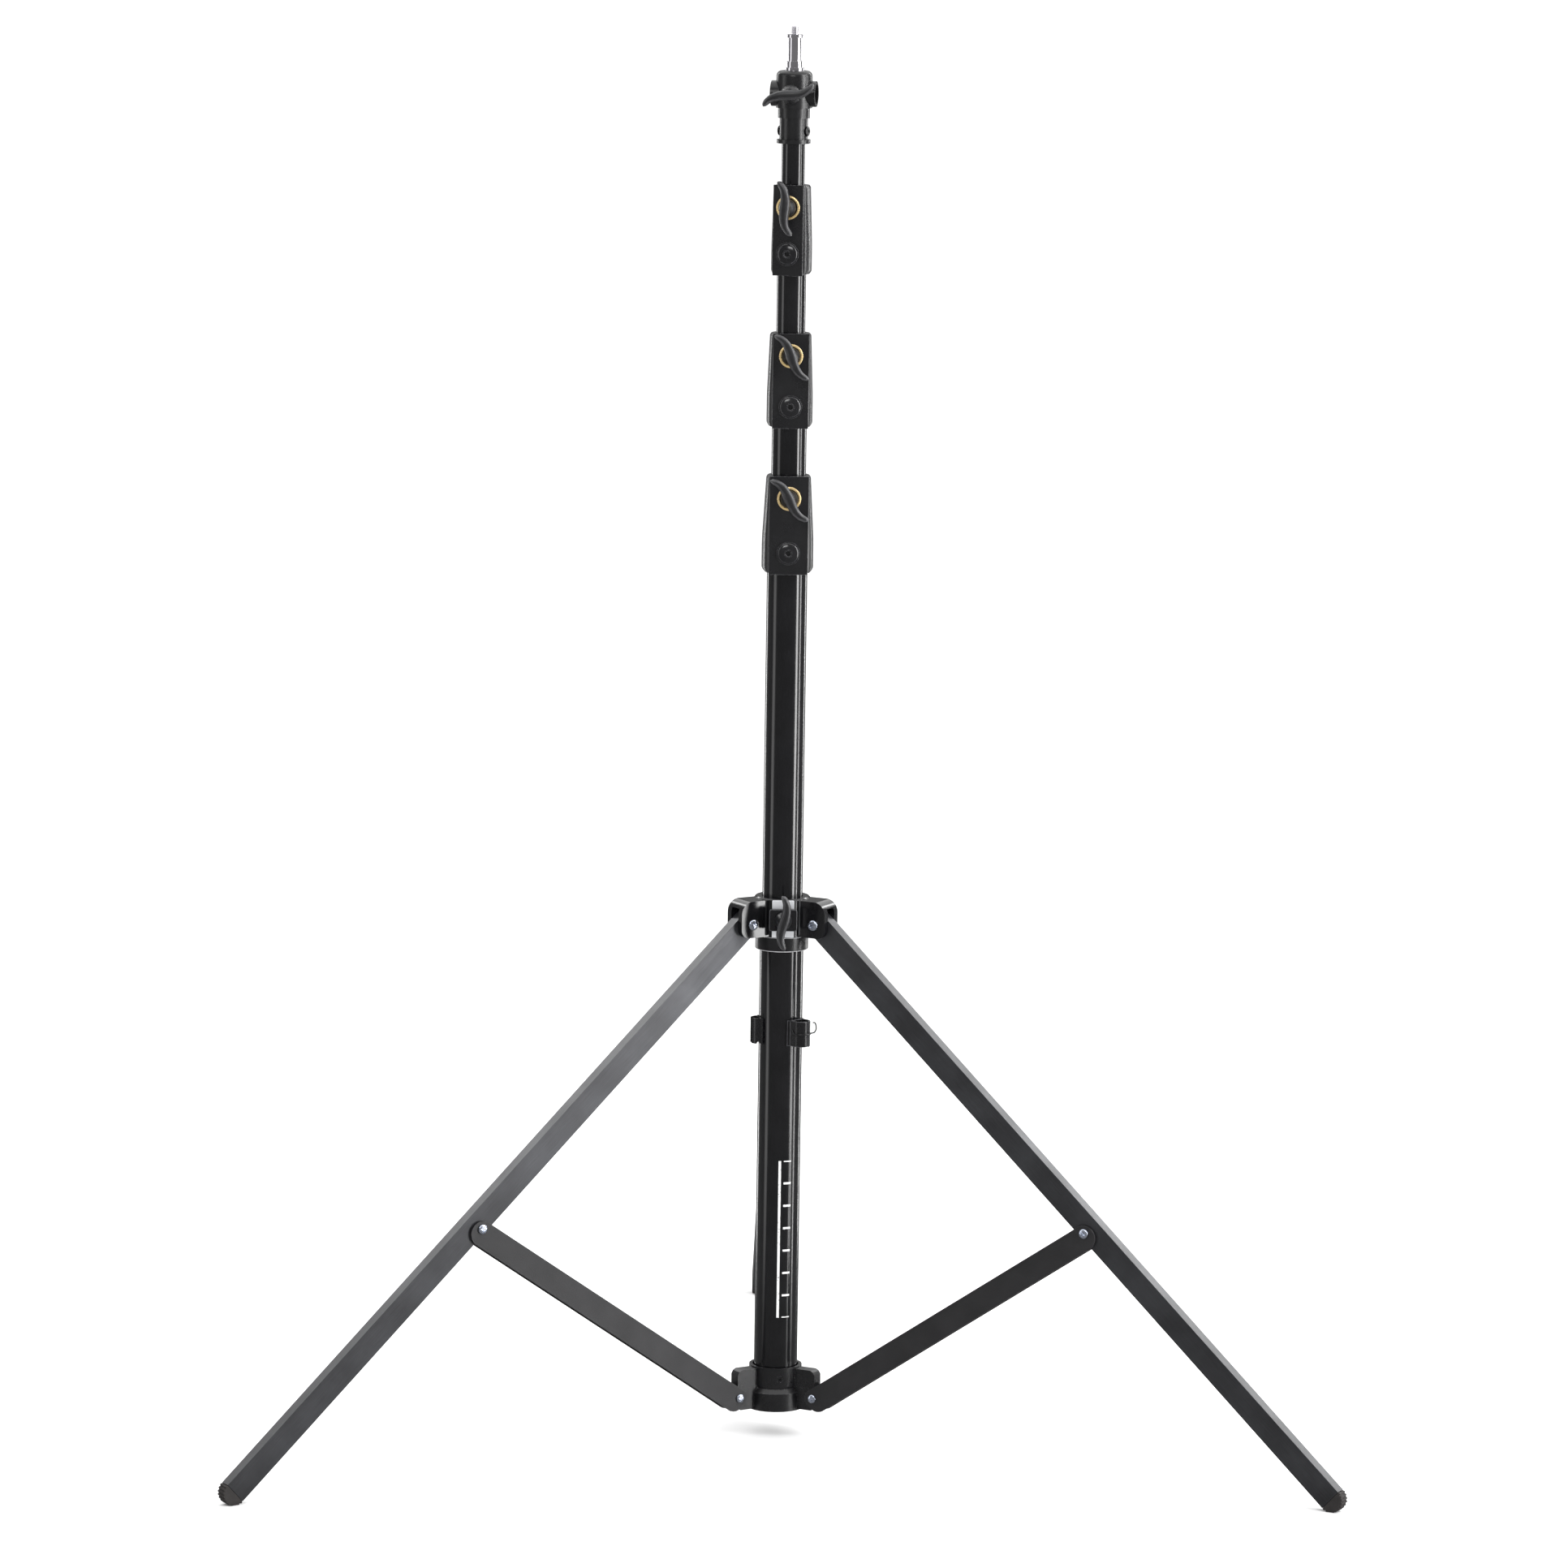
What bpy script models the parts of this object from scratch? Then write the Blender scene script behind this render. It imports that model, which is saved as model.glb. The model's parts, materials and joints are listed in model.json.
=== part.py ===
"""A quick-set light stand: a four-section telescopic column on three folding, braced legs.

Metres, +Z up. The column is modelled on the Z axis with the feet on Z = 0, and the whole
stand is then moved along X and Y so that its footprint is centred on the origin. Legs, braces
and their pivots are built once in a flat "leg plane" (local X outward from the column, local
Y along the hinge) and turned to three azimuths.
"""
import math

import bmesh
import bpy
from mathutils import Matrix, Vector

# --- Fits -------------------------------------------------------------------------------
TOUCH = 0.0003            # gap between pieces that rest on or grip each other
RUNNING = 0.0004          # gap around a piece that slides
PIN_FIT = 0.00015         # gap around a screw shank or a pivot
SIDE_PLAY = 0.0005        # gap on each side of a leg, in the hub and between brace flanges
OVERCUT = 0.004           # how far a cutter reaches past the surface that it opens

# --- Column -----------------------------------------------------------------------------
BASE_TUBE_DIAMETER = 0.035
TUBE_WALL = 0.0015
TELESCOPE_GAP = 0.001     # radial space between one section's bore and the next section
SLEEVE_WALL = 0.0012
SLEEVE_FOOT = 0.0303      # underside of the sleeve and of the base tube
SLEEVE_LENGTH = 0.3999
FIRST_CLAMP_HEIGHT = 0.7603
EXPOSED_LENGTHS = (0.0411, 0.0493, 0.0349)   # tube seen above each clamp, bottom to top
CLOSED_GAP = 0.003        # room under a section's guide when the column is shut

# --- Clamp bodies -----------------------------------------------------------------------
CLAMP_HEIGHTS = (0.0849, 0.0815, 0.0775)
CLAMP_TURNS = (0.0, 0.0, -15.0)              # degrees about the column
WING_CHORDS = (-51.0, -57.0, -80.0)          # degrees, along the middle of each wing's S
CLAMP_REVEALS = (0.0055, 0.0044, 0.0042)     # flank seen beside the front plate
CLAMP_FRONT_WALL = 0.004
CLAMP_FLANK_WALL = 0.0048
CLAMP_BACK_WALL = 0.0035
CLAMP_PLATE = 0.0042      # thickness of the flat front plate
CLAMP_EDGE = 0.0009       # chamfer round the front plate
CLAMP_SHOULDER = 0.040    # height inside at which the lower tube stops
FLANK_TOP_REVEAL = 0.0024
# Flanks, as (share of the height, share of the reveal that is drawn in) up to the middle, and
# then (share of the height, share of the way to the narrow top).
FLANK_FOOT_LEVELS = ((0.0, 0.45), (0.02, 0.15), (0.055, 0.0), (0.35, 0.0))
FLANK_TOP_LEVELS = ((0.70, 0.5), (0.985, 1.0))
FLANK_LIP = 0.2           # share of the top reveal taken off at the very top
WING_DROP = 0.0192        # wing screw below the top of its clamp
BOLT_RISE = 0.0186        # bolt above the bottom of its clamp

# --- Wing screws, bushes and bolts ------------------------------------------------------
BUSH_RADIUS = 0.01025
BUSH_WALL = 0.0021
BUSH_DEPTH = 0.0026
BUSH_PROUD = 0.001
WING_BOSS_RADIUS = 0.0075
WING_SHANK_RADIUS = 0.004
WING_HALF_LENGTH = 0.025
WING_WIDTH = 0.0072
WING_START = 0.0095       # distance from the clamp face to the wing
WING_THICKNESS = 0.008
WING_BEND = 0.37          # how strongly the wing's S curves
WING_SKEW = 0.27          # slope of the S at its middle, against its chord
BOLT_DOME_RADIUS = 0.010
BOLT_DOME_HEIGHT = 0.0028
BOLT_SOCKET_RADIUS = 0.0026
BOLT_SOCKET_DEPTH = 0.0022
BOLT_SHANK_RADIUS = 0.003

# --- Head and spigot --------------------------------------------------------------------
HEAD_TURN = -12.0
HEAD_WING_CHORD = 19.0
HEAD_FLANGE_WALL = 0.0045
HEAD_SOCKET_WALL = 0.00215
HEAD_FLANGE_HEIGHT = 0.0033
HEAD_SOCKET_HEIGHT = 0.0183
HEAD_RING_HEIGHT = 0.0086
HEAD_RING_PROUD = 0.0015
HEAD_BARREL_HEIGHT = 0.0318
HEAD_BARREL_RADIUS = 0.0155
HEAD_CORNER = 0.0048
HEAD_TUBE_STOP = 0.0275   # how far the top tube goes up into the head
CROSS_HEIGHT = 0.0423     # cross receiver above the head's underside
CROSS_RADIUS = 0.0083
CROSS_WALL = 0.0027
CROSS_HALF_LENGTH = 0.0194
CROSS_ROOT = 0.00135      # each receiver tube starts this far out from the spigot's hole
HEAD_SCREW_HEIGHT = 0.0105
HEAD_SCREW_AZIMUTHS = (-24.0, 156.0)
HEAD_SCREW_RADIUS = 0.00425
HEAD_SCREW_HEAD = 0.0019
HEAD_SCREW_SHANK = 0.002
HEAD_SCREW_SOCKET = 0.0014
HEAD_SCREW_SOCKET_DEPTH = 0.0012
SPIGOT_RADIUS = 0.008
SPIGOT_TAIL = 0.0295      # length inside the head
SPIGOT_PROUD = 0.0025
SPIGOT_COLLAR_RADIUS = 0.0069
SPIGOT_COLLAR_HEIGHT = 0.0054
SPIGOT_NECK_RADIUS = 0.00575
SPIGOT_NECK_HEIGHT = 0.0200
SPIGOT_FLANGE_RADIUS = 0.0071
SPIGOT_FLANGE_HEIGHT = 0.0026
STUD_RADIUS = 0.003175
STUD_HEIGHT = 0.0077

# --- Legs, braces and feet --------------------------------------------------------------
LEG_AZIMUTHS = (90.0, 210.0, 330.0)
LEG_ANGLE = 48.2          # degrees from the column, open
LEG_DEPTH = 0.021
LEG_WIDTH = 0.011
LEG_WALL = 0.0015
LEG_CORNER = 0.001
BRACE_PIVOT_REACH = 0.3584   # along the leg, from the hub pivot to the brace pivot
BRACE_PIVOT_DROP = 0.005     # brace pivot below the leg's centre line
BRACE_DEPTH = 0.0215
BRACE_PIVOT_INSET = 0.0075   # brace pivot from the outside of the brace's web
BRACE_WALL = 0.002
BRACE_END_BACK = 0.0023   # centre of the round upper end, back from the pivot
BRACE_WEB_TOP_CUT = 0.042
BRACE_WEB_BOTTOM_CUT = 0.028
# Cornered foot of a brace flange: (distance in from the open lip, height from the pivot).
BRACE_FOOT_CORNERS = ((0.0045, -0.0048), (0.001, -0.0008), (0.0, 0.002))
FOOT_TREAD = 0.0008
FOOT_TREAD_COUNT = 11
FOOT_FLAT = 0.0006        # how much of the round tread is worn flat where it stands
FOOT_PLUG = 0.016
FOOT_PLUG_ROOT = 0.004    # how far the plug's root reaches down into the tread
RIVET_RADIUS = 0.0042
RIVET_HEAD = 0.0018
RIVET_SHANK_RADIUS = 0.0025

# --- Hub --------------------------------------------------------------------------------
HUB_PIVOT_RADIUS = 0.037
HUB_PIVOT_RISE = 0.0119   # above the hub's underside
HUB_HEIGHT = 0.0335
HUB_BARREL_WALL = 0.0062
HUB_ARM_REACH = 0.0112    # arm beyond the pivot
HUB_ARM_TOP_ROUND = 0.011
HUB_ARM_FOOT_ROUND = 0.0075
HUB_ARM_ROOT = 0.0024     # an arm's root, out from the tube, inside the barrel's wall
HUB_ARM_FOOT_GAP = 0.0004 # arm's underside above the barrel's
HUB_ARM_TOP_GAP = 0.0012  # arm's top below the barrel's
HUB_EDGE = 0.001
HUB_RING_EDGE = 0.0008
HUB_EAR = 0.006
HUB_SLOT_INNER = 0.0115   # slot starts this far inside the pivot
HUB_SLOT_ROOF = 0.0075
HUB_RING_HEIGHT = 0.0128
HUB_RING_WALL = 0.0052
HUB_PIVOT_SHANK = 0.0029
HUB_PIVOT_HEAD_RADIUS = 0.0046
HUB_PIVOT_HEAD = 0.002
HUB_CLAMP_RISE = 0.0165
HUB_STRIP_WIDTH = 0.019
HUB_STRIP_THICKNESS = 0.0018
HUB_BLOCK_WIDTH = 0.0245
HUB_BLOCK_HEIGHT = 0.0193
HUB_BLOCK_DEPTH = 0.005
HUB_WING_CHORD = -92.0

# --- Lower collar and clips -------------------------------------------------------------
COLLAR_PIVOT_RADIUS = 0.041
COLLAR_PIVOT_HEIGHT = 0.0345
COLLAR_FOOT = 0.0217
COLLAR_STEP_LOW = 0.0376
COLLAR_STEP_HIGH = 0.044
COLLAR_RIM_HEIGHT = 0.060
COLLAR_RIM_GAP = 0.0012   # open ring between the sleeve and the collar's rim
COLLAR_RIM_DEPTH = 0.008
COLLAR_WALL = 0.0029
COLLAR_SKIRT = 0.0023     # how far the lower ring stands out past the upper one
COLLAR_FLOOR_RADIUS = 0.013
COLLAR_CONE_RISE = 0.0035 # first, steeper part of the cone between the collar's two rings
COLLAR_CONE_IN = 0.001
COLLAR_EDGE = 0.0008
TONGUE_FOOT_GAP = 0.0012  # tongue's underside above the collar's, and fin's top below its rim
TONGUE_ROOT = 0.0015      # tongue's root, out from the sleeve
TONGUE_NOSE = 0.009       # length of the rounded nose
FIN_OVERLAP = 0.002
FIN_ROOT = 0.001
FIN_CHAMFER = 0.0045
SET_SCREW_SUNK = 0.0004
SET_SCREW_SOCKET_DEPTH = 0.0018
TONGUE_REACH = 0.0065     # tongue beyond the collar pivot
TONGUE_PLAY = 0.0008      # room on each side of a tongue, between the brace's flanges
TONGUE_WEB_HALF = 0.0056
TONGUE_WEB_REACH = 0.0009 # upper block beyond the collar pivot
TONGUE_STEP = 0.0100      # lower block above the pivot
COLLAR_PIVOT_HEAD_RADIUS = 0.0038
COLLAR_PIVOT_HEAD = 0.0017
COLLAR_PIVOT_SHANK = 0.0024
SET_SCREW_AZIMUTH = -82.0
SET_SCREW_HEIGHT = 0.0505
SET_SCREW_RADIUS = 0.00265
PLUG_THICKNESS = 0.0145
GUIDE_FLANGE = 0.008
GUIDE_SPIGOT = 0.012
GUIDE_WALL = 0.0035
CLIP_AZIMUTHS = (-46.0, 190.0)
CLIP_HEIGHT = 0.0225
CLIP_CENTRE_HEIGHT = 0.3585
CLIP_WIDTH = 0.0154
CLIP_REACHES = (0.0140, 0.0069)
CLIP_WALL = 0.0016
CLIP_MOUTHS = (0.0012, 0.005)
CLIP_PAD_WIDTH = 0.019
CLIP_TURN = 75.0          # degrees that a prong bends round before it reaches its mouth
CLIP_STEPS = 6

# --- Mesh fineness ----------------------------------------------------------------------
TUBE_SIDES = 32
SMALL_SIDES = 20
SCREW_SIDES = 16
MERGE = 0.000001
ROD_TWIST = 0.31           # turn of a round bar's corners, as a share of one side

# --- Colours: (red, green, blue), roughness, metallic -----------------------------------
SATIN_BLACK = ((0.020, 0.020, 0.022), 0.38, 0.85)
GLOSS_BLACK = ((0.012, 0.012, 0.013), 0.22, 0.0)
CAST_BLACK = ((0.025, 0.026, 0.028), 0.42, 0.7)
ANODISED_LEG = ((0.085, 0.085, 0.095), 0.35, 0.9)
PAINTED_BRACE = ((0.035, 0.034, 0.038), 0.55, 0.4)
RUBBER = ((0.022, 0.020, 0.022), 0.75, 0.0)
BRASS = ((0.80, 0.58, 0.25), 0.25, 1.0)
CHROME = ((0.86, 0.86, 0.88), 0.06, 1.0)
ZINC = ((0.72, 0.75, 0.80), 0.3, 1.0)
STEEL = ((0.70, 0.70, 0.72), 0.35, 1.0)
NYLON = ((0.05, 0.05, 0.055), 0.5, 0.0)

# --- Worked-out sizes -------------------------------------------------------------------
BASE_RADIUS = BASE_TUBE_DIAMETER / 2
SECTION_RADII = [BASE_RADIUS - step * (TUBE_WALL + TELESCOPE_GAP) for step in range(4)]
SLEEVE_RADIUS = BASE_RADIUS + TOUCH + SLEEVE_WALL
SLEEVE_TOP = SLEEVE_FOOT + SLEEVE_LENGTH
HUB_RING_BOTTOM = SLEEVE_TOP + TOUCH
HUB_BOTTOM = HUB_RING_BOTTOM + HUB_RING_HEIGHT + TOUCH
HUB_PIVOT_HEIGHT = HUB_BOTTOM + HUB_PIVOT_RISE
HUB_BARREL_RADIUS = BASE_RADIUS + RUNNING + HUB_BARREL_WALL
HUB_SLOT_HALF = LEG_WIDTH / 2 + SIDE_PLAY
HUB_ARM_HALF = HUB_SLOT_HALF + HUB_EAR
BRACE_GAP = LEG_WIDTH + 2 * SIDE_PLAY
BRACE_WIDTH = BRACE_GAP + 2 * BRACE_WALL
TONGUE_HALF = BRACE_GAP / 2 - TONGUE_PLAY
FOOT_RADIUS = LEG_DEPTH / 2 + FOOT_TREAD / 2
FOOT_CENTRE_HEIGHT = FOOT_RADIUS - FOOT_FLAT
LEG_SLOPE = math.radians(LEG_ANGLE)
LEG_LENGTH = (HUB_PIVOT_HEIGHT - FOOT_CENTRE_HEIGHT) / math.cos(LEG_SLOPE)


def leg_point(along, outward):
    """Radius and height of a point on an open leg, from its hub pivot."""
    radius = HUB_PIVOT_RADIUS + along * math.sin(LEG_SLOPE) + outward * math.cos(LEG_SLOPE)
    height = HUB_PIVOT_HEIGHT - along * math.cos(LEG_SLOPE) + outward * math.sin(LEG_SLOPE)
    return radius, height


BRACE_TOP = leg_point(BRACE_PIVOT_REACH, -BRACE_PIVOT_DROP)
BRACE_RUN = BRACE_TOP[0] - COLLAR_PIVOT_RADIUS
BRACE_RISE = BRACE_TOP[1] - COLLAR_PIVOT_HEIGHT
BRACE_LENGTH = math.hypot(BRACE_RUN, BRACE_RISE)
BRACE_SLOPE = math.atan2(BRACE_RUN, BRACE_RISE)

COLLAR_RADIUS = SLEEVE_RADIUS + COLLAR_RIM_GAP + COLLAR_WALL


# --- Scene helpers ----------------------------------------------------------------------
def clear_scene():
    for old in list(bpy.data.objects):
        bpy.data.objects.remove(old, do_unlink=True)


def make_material(name, finish):
    colour, roughness, metallic = finish
    material = bpy.data.materials.get(name) or bpy.data.materials.new(name)
    material.use_nodes = True
    shader = material.node_tree.nodes["Principled BSDF"]
    shader.inputs["Base Color"].default_value = (*colour, 1.0)
    shader.inputs["Roughness"].default_value = roughness
    shader.inputs["Metallic"].default_value = metallic
    return material


def add_empty(name, parent=None, location=(0, 0, 0), rotation=(0, 0, 0)):
    """An empty that carries pieces; rotation in degrees."""
    empty = bpy.data.objects.new(name, None)
    empty.empty_display_size = 0.02
    bpy.context.scene.collection.objects.link(empty)
    place(empty, parent, location, rotation)
    return empty


def place(item, parent, location=(0, 0, 0), rotation=(0, 0, 0)):
    item.parent = parent
    item.location = location
    item.rotation_euler = [math.radians(angle) for angle in rotation]


def add_object(name, bm, finish=None, parent=None, location=(0, 0, 0), rotation=(0, 0, 0),
               smooth_angle=35):
    """Turn a finished bmesh into a named object with its own material."""
    bmesh.ops.recalc_face_normals(bm, faces=bm.faces)
    mesh = bpy.data.meshes.new(name)
    bm.to_mesh(mesh)
    bm.free()
    mesh.shade_smooth()
    mesh.set_sharp_from_angle(angle=math.radians(smooth_angle))
    item = bpy.data.objects.new(name, mesh)
    bpy.context.scene.collection.objects.link(item)
    if finish is not None:
        mesh.materials.append(make_material(name, finish))
    place(item, parent, location, rotation)
    return item


def combine(target, tool, operation="DIFFERENCE"):
    """Cut a tool out of a piece, or join it on; the tool stays as an editable guide."""
    tool.parent = target
    tool.hide_render = True
    tool.display_type = "WIRE"
    modifier = target.modifiers.new(tool.name, "BOOLEAN")
    modifier.operation = operation
    modifier.solver = "EXACT"
    modifier.object = tool


# --- Shape helpers ----------------------------------------------------------------------
def arc(centre, radius, start, end, count):
    """Points on a circle, start and end angles in degrees, both ends included."""
    points = []
    for step in range(count + 1):
        angle = math.radians(start + (end - start) * step / count)
        points.append((centre[0] + radius * math.cos(angle),
                       centre[1] + radius * math.sin(angle)))
    return points


def add_turned(bm, profile, sides):
    """Spin a closed (radius, height) outline about Z."""
    outline = [bm.verts.new((radius, 0, height)) for radius, height in profile]
    edges = [bm.edges.new(pair) for pair in zip(outline, outline[1:] + outline[:1])]
    bmesh.ops.spin(bm, geom=outline + edges, cent=(0, 0, 0), axis=(0, 0, 1),
                   angle=2 * math.pi, steps=sides, use_merge=True)
    bmesh.ops.remove_doubles(bm, verts=bm.verts, dist=MERGE)
    bmesh.ops.dissolve_degenerate(bm, dist=MERGE, edges=bm.edges)
    on_axis = [edge for edge in bm.edges
               if all(math.hypot(vert.co.x, vert.co.y) < MERGE for vert in edge.verts)]
    bmesh.ops.delete(bm, geom=on_axis, context="EDGES")


def turned(profile, sides=TUBE_SIDES):
    bm = bmesh.new()
    add_turned(bm, profile, sides)
    return bm


def add_prism(bm, outline, low, high):
    """Stand a closed (x, y) outline up between two heights."""
    face = bm.faces.new([bm.verts.new((x, y, low)) for x, y in outline])
    grown = bmesh.ops.extrude_face_region(bm, geom=[face])
    rim = [item for item in grown["geom"] if isinstance(item, bmesh.types.BMVert)]
    bmesh.ops.translate(bm, verts=rim, vec=(0, 0, high - low))


def prism(outline, low, high):
    bm = bmesh.new()
    add_prism(bm, outline, low, high)
    return bm


def side_plate(outline, half_width):
    """A plate whose (x, z) outline is given, centred on the leg plane."""
    bm = prism(outline, -half_width, half_width)
    bm.transform(Matrix.Rotation(math.radians(90), 4, "X"))
    return bm


def rectangle(width, depth, corner, steps=3):
    """A rounded rectangle outline; corner radius may be zero."""
    half_x, half_y = width / 2, depth / 2
    if corner <= 0:
        return [(half_x, -half_y), (half_x, half_y), (-half_x, half_y), (-half_x, -half_y)]
    inner_x, inner_y = half_x - corner, half_y - corner
    points = []
    corners = ((inner_x, -inner_y), (inner_x, inner_y), (-inner_x, inner_y), (-inner_x, -inner_y))
    for turn, centre in enumerate(corners):
        start = -90 + 90 * turn
        points += arc(centre, corner, start, start + 90, steps)
    return points


def add_rod(bm, radius, low, high, sides=SCREW_SIDES):
    """A plain round bar along Z, turned a little so that its corners meet no other corners."""
    twist = Matrix.Rotation(ROD_TWIST * 2 * math.pi / sides, 4, "Z")
    bmesh.ops.create_cone(bm, cap_ends=True, segments=sides, radius1=radius, radius2=radius,
                          depth=high - low,
                          matrix=Matrix.Translation((0, 0, (low + high) / 2)) @ twist)


def rod(radius, low, high, sides=SCREW_SIDES):
    bm = bmesh.new()
    add_rod(bm, radius, low, high, sides)
    return bm


def polar(radius, azimuth, height):
    angle = math.radians(azimuth)
    return (radius * math.cos(angle), radius * math.sin(angle), height)


def outward_rotation(azimuth):
    """Euler angles that point local Z outward at an azimuth, with local Y up."""
    return (90, 0, azimuth + 90)


# --- Column pieces ----------------------------------------------------------------------
def add_tube(name, radius, wall, bottom, top, parent):
    inner = radius - wall
    bm = turned([(inner, bottom), (radius, bottom), (radius, top), (inner, top)])
    return add_object(name, bm, SATIN_BLACK, parent)


def add_guide(name, tube_radius, bottom, parent):
    """A nylon ring that plugs the foot of a section and runs inside the section outside it."""
    bore = tube_radius - TUBE_WALL - TOUCH
    flange = tube_radius + TELESCOPE_GAP - RUNNING
    hole = bore - GUIDE_WALL
    low = bottom - GUIDE_FLANGE
    high = bottom + GUIDE_SPIGOT
    profile = [(hole, low), (flange, low), (flange, bottom - TOUCH), (bore, bottom - TOUCH),
               (bore, high), (hole, high)]
    return add_object(name, turned(profile, TUBE_SIDES), NYLON, parent)


def clamp_outline(half_plate, front, flank, back):
    """Plan of a clamp body: flat front plate, bulging flanks and a round back."""
    seam = -front + CLAMP_PLATE
    right = [(half_plate - CLAMP_EDGE, -front), (half_plate, -front + CLAMP_EDGE),
             (half_plate, seam)]
    for step in range(1, 5):
        angle = math.radians(90 * step / 4)
        right.append((half_plate + (flank - half_plate) * math.sin(angle),
                      seam * math.cos(angle)))
    for step in range(1, 7):
        angle = math.radians(90 * step / 6)
        right.append((flank * math.cos(angle), back * math.sin(angle)))
    left = [(-x, y) for x, y in reversed(right[:-1])]
    return right + left


def clamp_levels(height, half_plate, flank):
    """Heights up a clamp body, each with how wide the flanks are there."""
    top_flank = half_plate + FLANK_TOP_REVEAL
    levels = [(share * height, flank - draw * (flank - half_plate))
              for share, draw in FLANK_FOOT_LEVELS]
    levels += [(share * height, flank - draw * (flank - top_flank))
               for share, draw in FLANK_TOP_LEVELS]
    return levels + [(height, top_flank - FLANK_LIP * FLANK_TOP_REVEAL)]


def clamp_body(index, bottom, parent):
    """One black casting that grips the tube below and lets the next one slide."""
    lower, upper = SECTION_RADII[index], SECTION_RADII[index + 1]
    height = CLAMP_HEIGHTS[index]
    front, flank = lower + CLAMP_FRONT_WALL, lower + CLAMP_FLANK_WALL
    half_plate, back = flank - CLAMP_REVEALS[index], lower + CLAMP_BACK_WALL
    bm = bmesh.new()
    rings = []
    for level, width in clamp_levels(height, half_plate, flank):
        outline = clamp_outline(half_plate, front, width, back)
        rings.append([bm.verts.new((x, y, level)) for x, y in outline])
    for below, above in zip(rings, rings[1:]):
        for here in range(len(below)):
            beside = (here + 1) % len(below)
            bm.faces.new((below[here], below[beside], above[beside], above[here]))
    bm.faces.new(list(reversed(rings[0])))
    bm.faces.new(rings[-1])
    body = add_object(f"clamp_body_{index + 1}", bm, CAST_BLACK, parent, (0, 0, bottom))

    grip, slide = lower + TOUCH, upper + RUNNING
    bore = [(0, -OVERCUT), (grip, -OVERCUT), (grip, CLAMP_SHOULDER), (slide, CLAMP_SHOULDER),
            (slide, height + OVERCUT), (0, height + OVERCUT)]
    combine(body, add_object(f"bore_cutter_{index + 1}", turned(bore)))
    seat = BUSH_RADIUS + TOUCH
    hole = WING_SHANK_RADIUS + PIN_FIT
    pocket = [(0, upper * 0.5), (hole, upper * 0.5), (hole, front - BUSH_DEPTH),
              (seat, front - BUSH_DEPTH), (seat, front + OVERCUT), (0, front + OVERCUT)]
    combine(body, add_object(f"wing_cutter_{index + 1}", turned(pocket, SMALL_SIDES),
                             location=(0, 0, height - WING_DROP), rotation=(90, 0, 0)))
    drill = rod(BOLT_SHANK_RADIUS + PIN_FIT, lower * 0.5, front + OVERCUT)
    combine(body, add_object(f"bolt_cutter_{index + 1}", drill,
                             location=(0, 0, BOLT_RISE), rotation=(90, 0, 0)))
    return body


def add_bush(index, height, front, parent):
    """The brass ring let into a clamp round its wing screw."""
    inner = BUSH_RADIUS - BUSH_WALL
    low, high = front - BUSH_DEPTH + TOUCH, front + BUSH_PROUD
    lip = BUSH_WALL / 4
    profile = [(inner, low), (BUSH_RADIUS, low), (BUSH_RADIUS, high - lip),
               (BUSH_RADIUS - lip, high), (inner + lip, high), (inner, high - lip)]
    return add_object(f"clamp_bush_{index + 1}", turned(profile, SMALL_SIDES), BRASS, parent,
                      (0, 0, height), (90, 0, 0))


def dome_profile(radius, height, socket, depth, reach, shank):
    """Outline of a low domed screw, seat at zero, shank running down to -reach."""
    points = [(0, -reach), (shank, -reach), (shank, 0), (radius, 0), (radius, height * 0.3)]
    points += [(radius * math.cos(angle), height * (0.3 + 0.7 * math.sin(angle)))
               for angle in (math.radians(20), math.radians(42), math.radians(60))]
    points += [(socket, height), (socket, height - depth), (0, height - depth)]
    return points


def add_dome_screw(name, radius, height, socket, depth, reach, shank, parent, location, rotation,
                   sides=SCREW_SIDES):
    profile = dome_profile(radius, height, socket, depth, reach, shank)
    return add_object(name, turned(profile, sides), CAST_BLACK, parent, location, rotation)


def wing_outline():
    """An S-shaped wing lying along X, round at both tips."""
    half, width = WING_HALF_LENGTH, WING_WIDTH
    tip = width * 0.36
    upper, lower = [], []
    steps = 9
    for step in range(steps + 1):
        share = -1 + 2 * step / steps
        reach = half - tip
        x = reach * share
        y = half * (WING_BEND * share ** 3 - WING_SKEW * share)
        slope = math.atan(3 * WING_BEND * share ** 2 - WING_SKEW)
        thick = tip + (width / 2 - tip) * (1 - share ** 2)
        upper.append((x - thick * math.sin(slope), y + thick * math.cos(slope)))
        lower.append((x + thick * math.sin(slope), y - thick * math.cos(slope)))
    end_slope = math.degrees(math.atan(3 * WING_BEND - WING_SKEW))
    end = (reach, half * (WING_BEND - WING_SKEW))
    right_tip = arc(end, tip, end_slope + 90, end_slope - 90, 4)
    left_tip = arc((-end[0], -end[1]), tip, end_slope - 90, end_slope - 270, 4)
    return upper[:-1] + right_tip + list(reversed(lower))[1:-1] + left_tip[:-1]


def add_wing_screw(name, parent, reach, boss, seat, chord):
    """A wing screw along local Z: shank, round boss and S-shaped wing in one moulding.

    seat is the height of the boss's underside and reach the depth of the shank's tip.
    """
    low = WING_START + WING_THICKNESS * 0.5
    shaft = [(0, -reach), (WING_SHANK_RADIUS, -reach), (WING_SHANK_RADIUS, seat), (boss, seat),
             (boss, WING_START * 0.55), (boss * 0.8, WING_START), (boss * 0.66, low), (0, low)]
    screw = add_object(name, turned(shaft, SMALL_SIDES), NYLON, parent, rotation=(0, 0, chord))
    plate = prism(wing_outline(), WING_START, WING_START + WING_THICKNESS)
    rim = [edge for edge in plate.edges if abs(edge.verts[0].co.z - edge.verts[1].co.z) < MERGE]
    bmesh.ops.bevel(plate, geom=rim, offset=0.0015, segments=1, affect="EDGES")
    combine(screw, add_object(name + "_wing_tool", plate), "UNION")
    return screw


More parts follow.
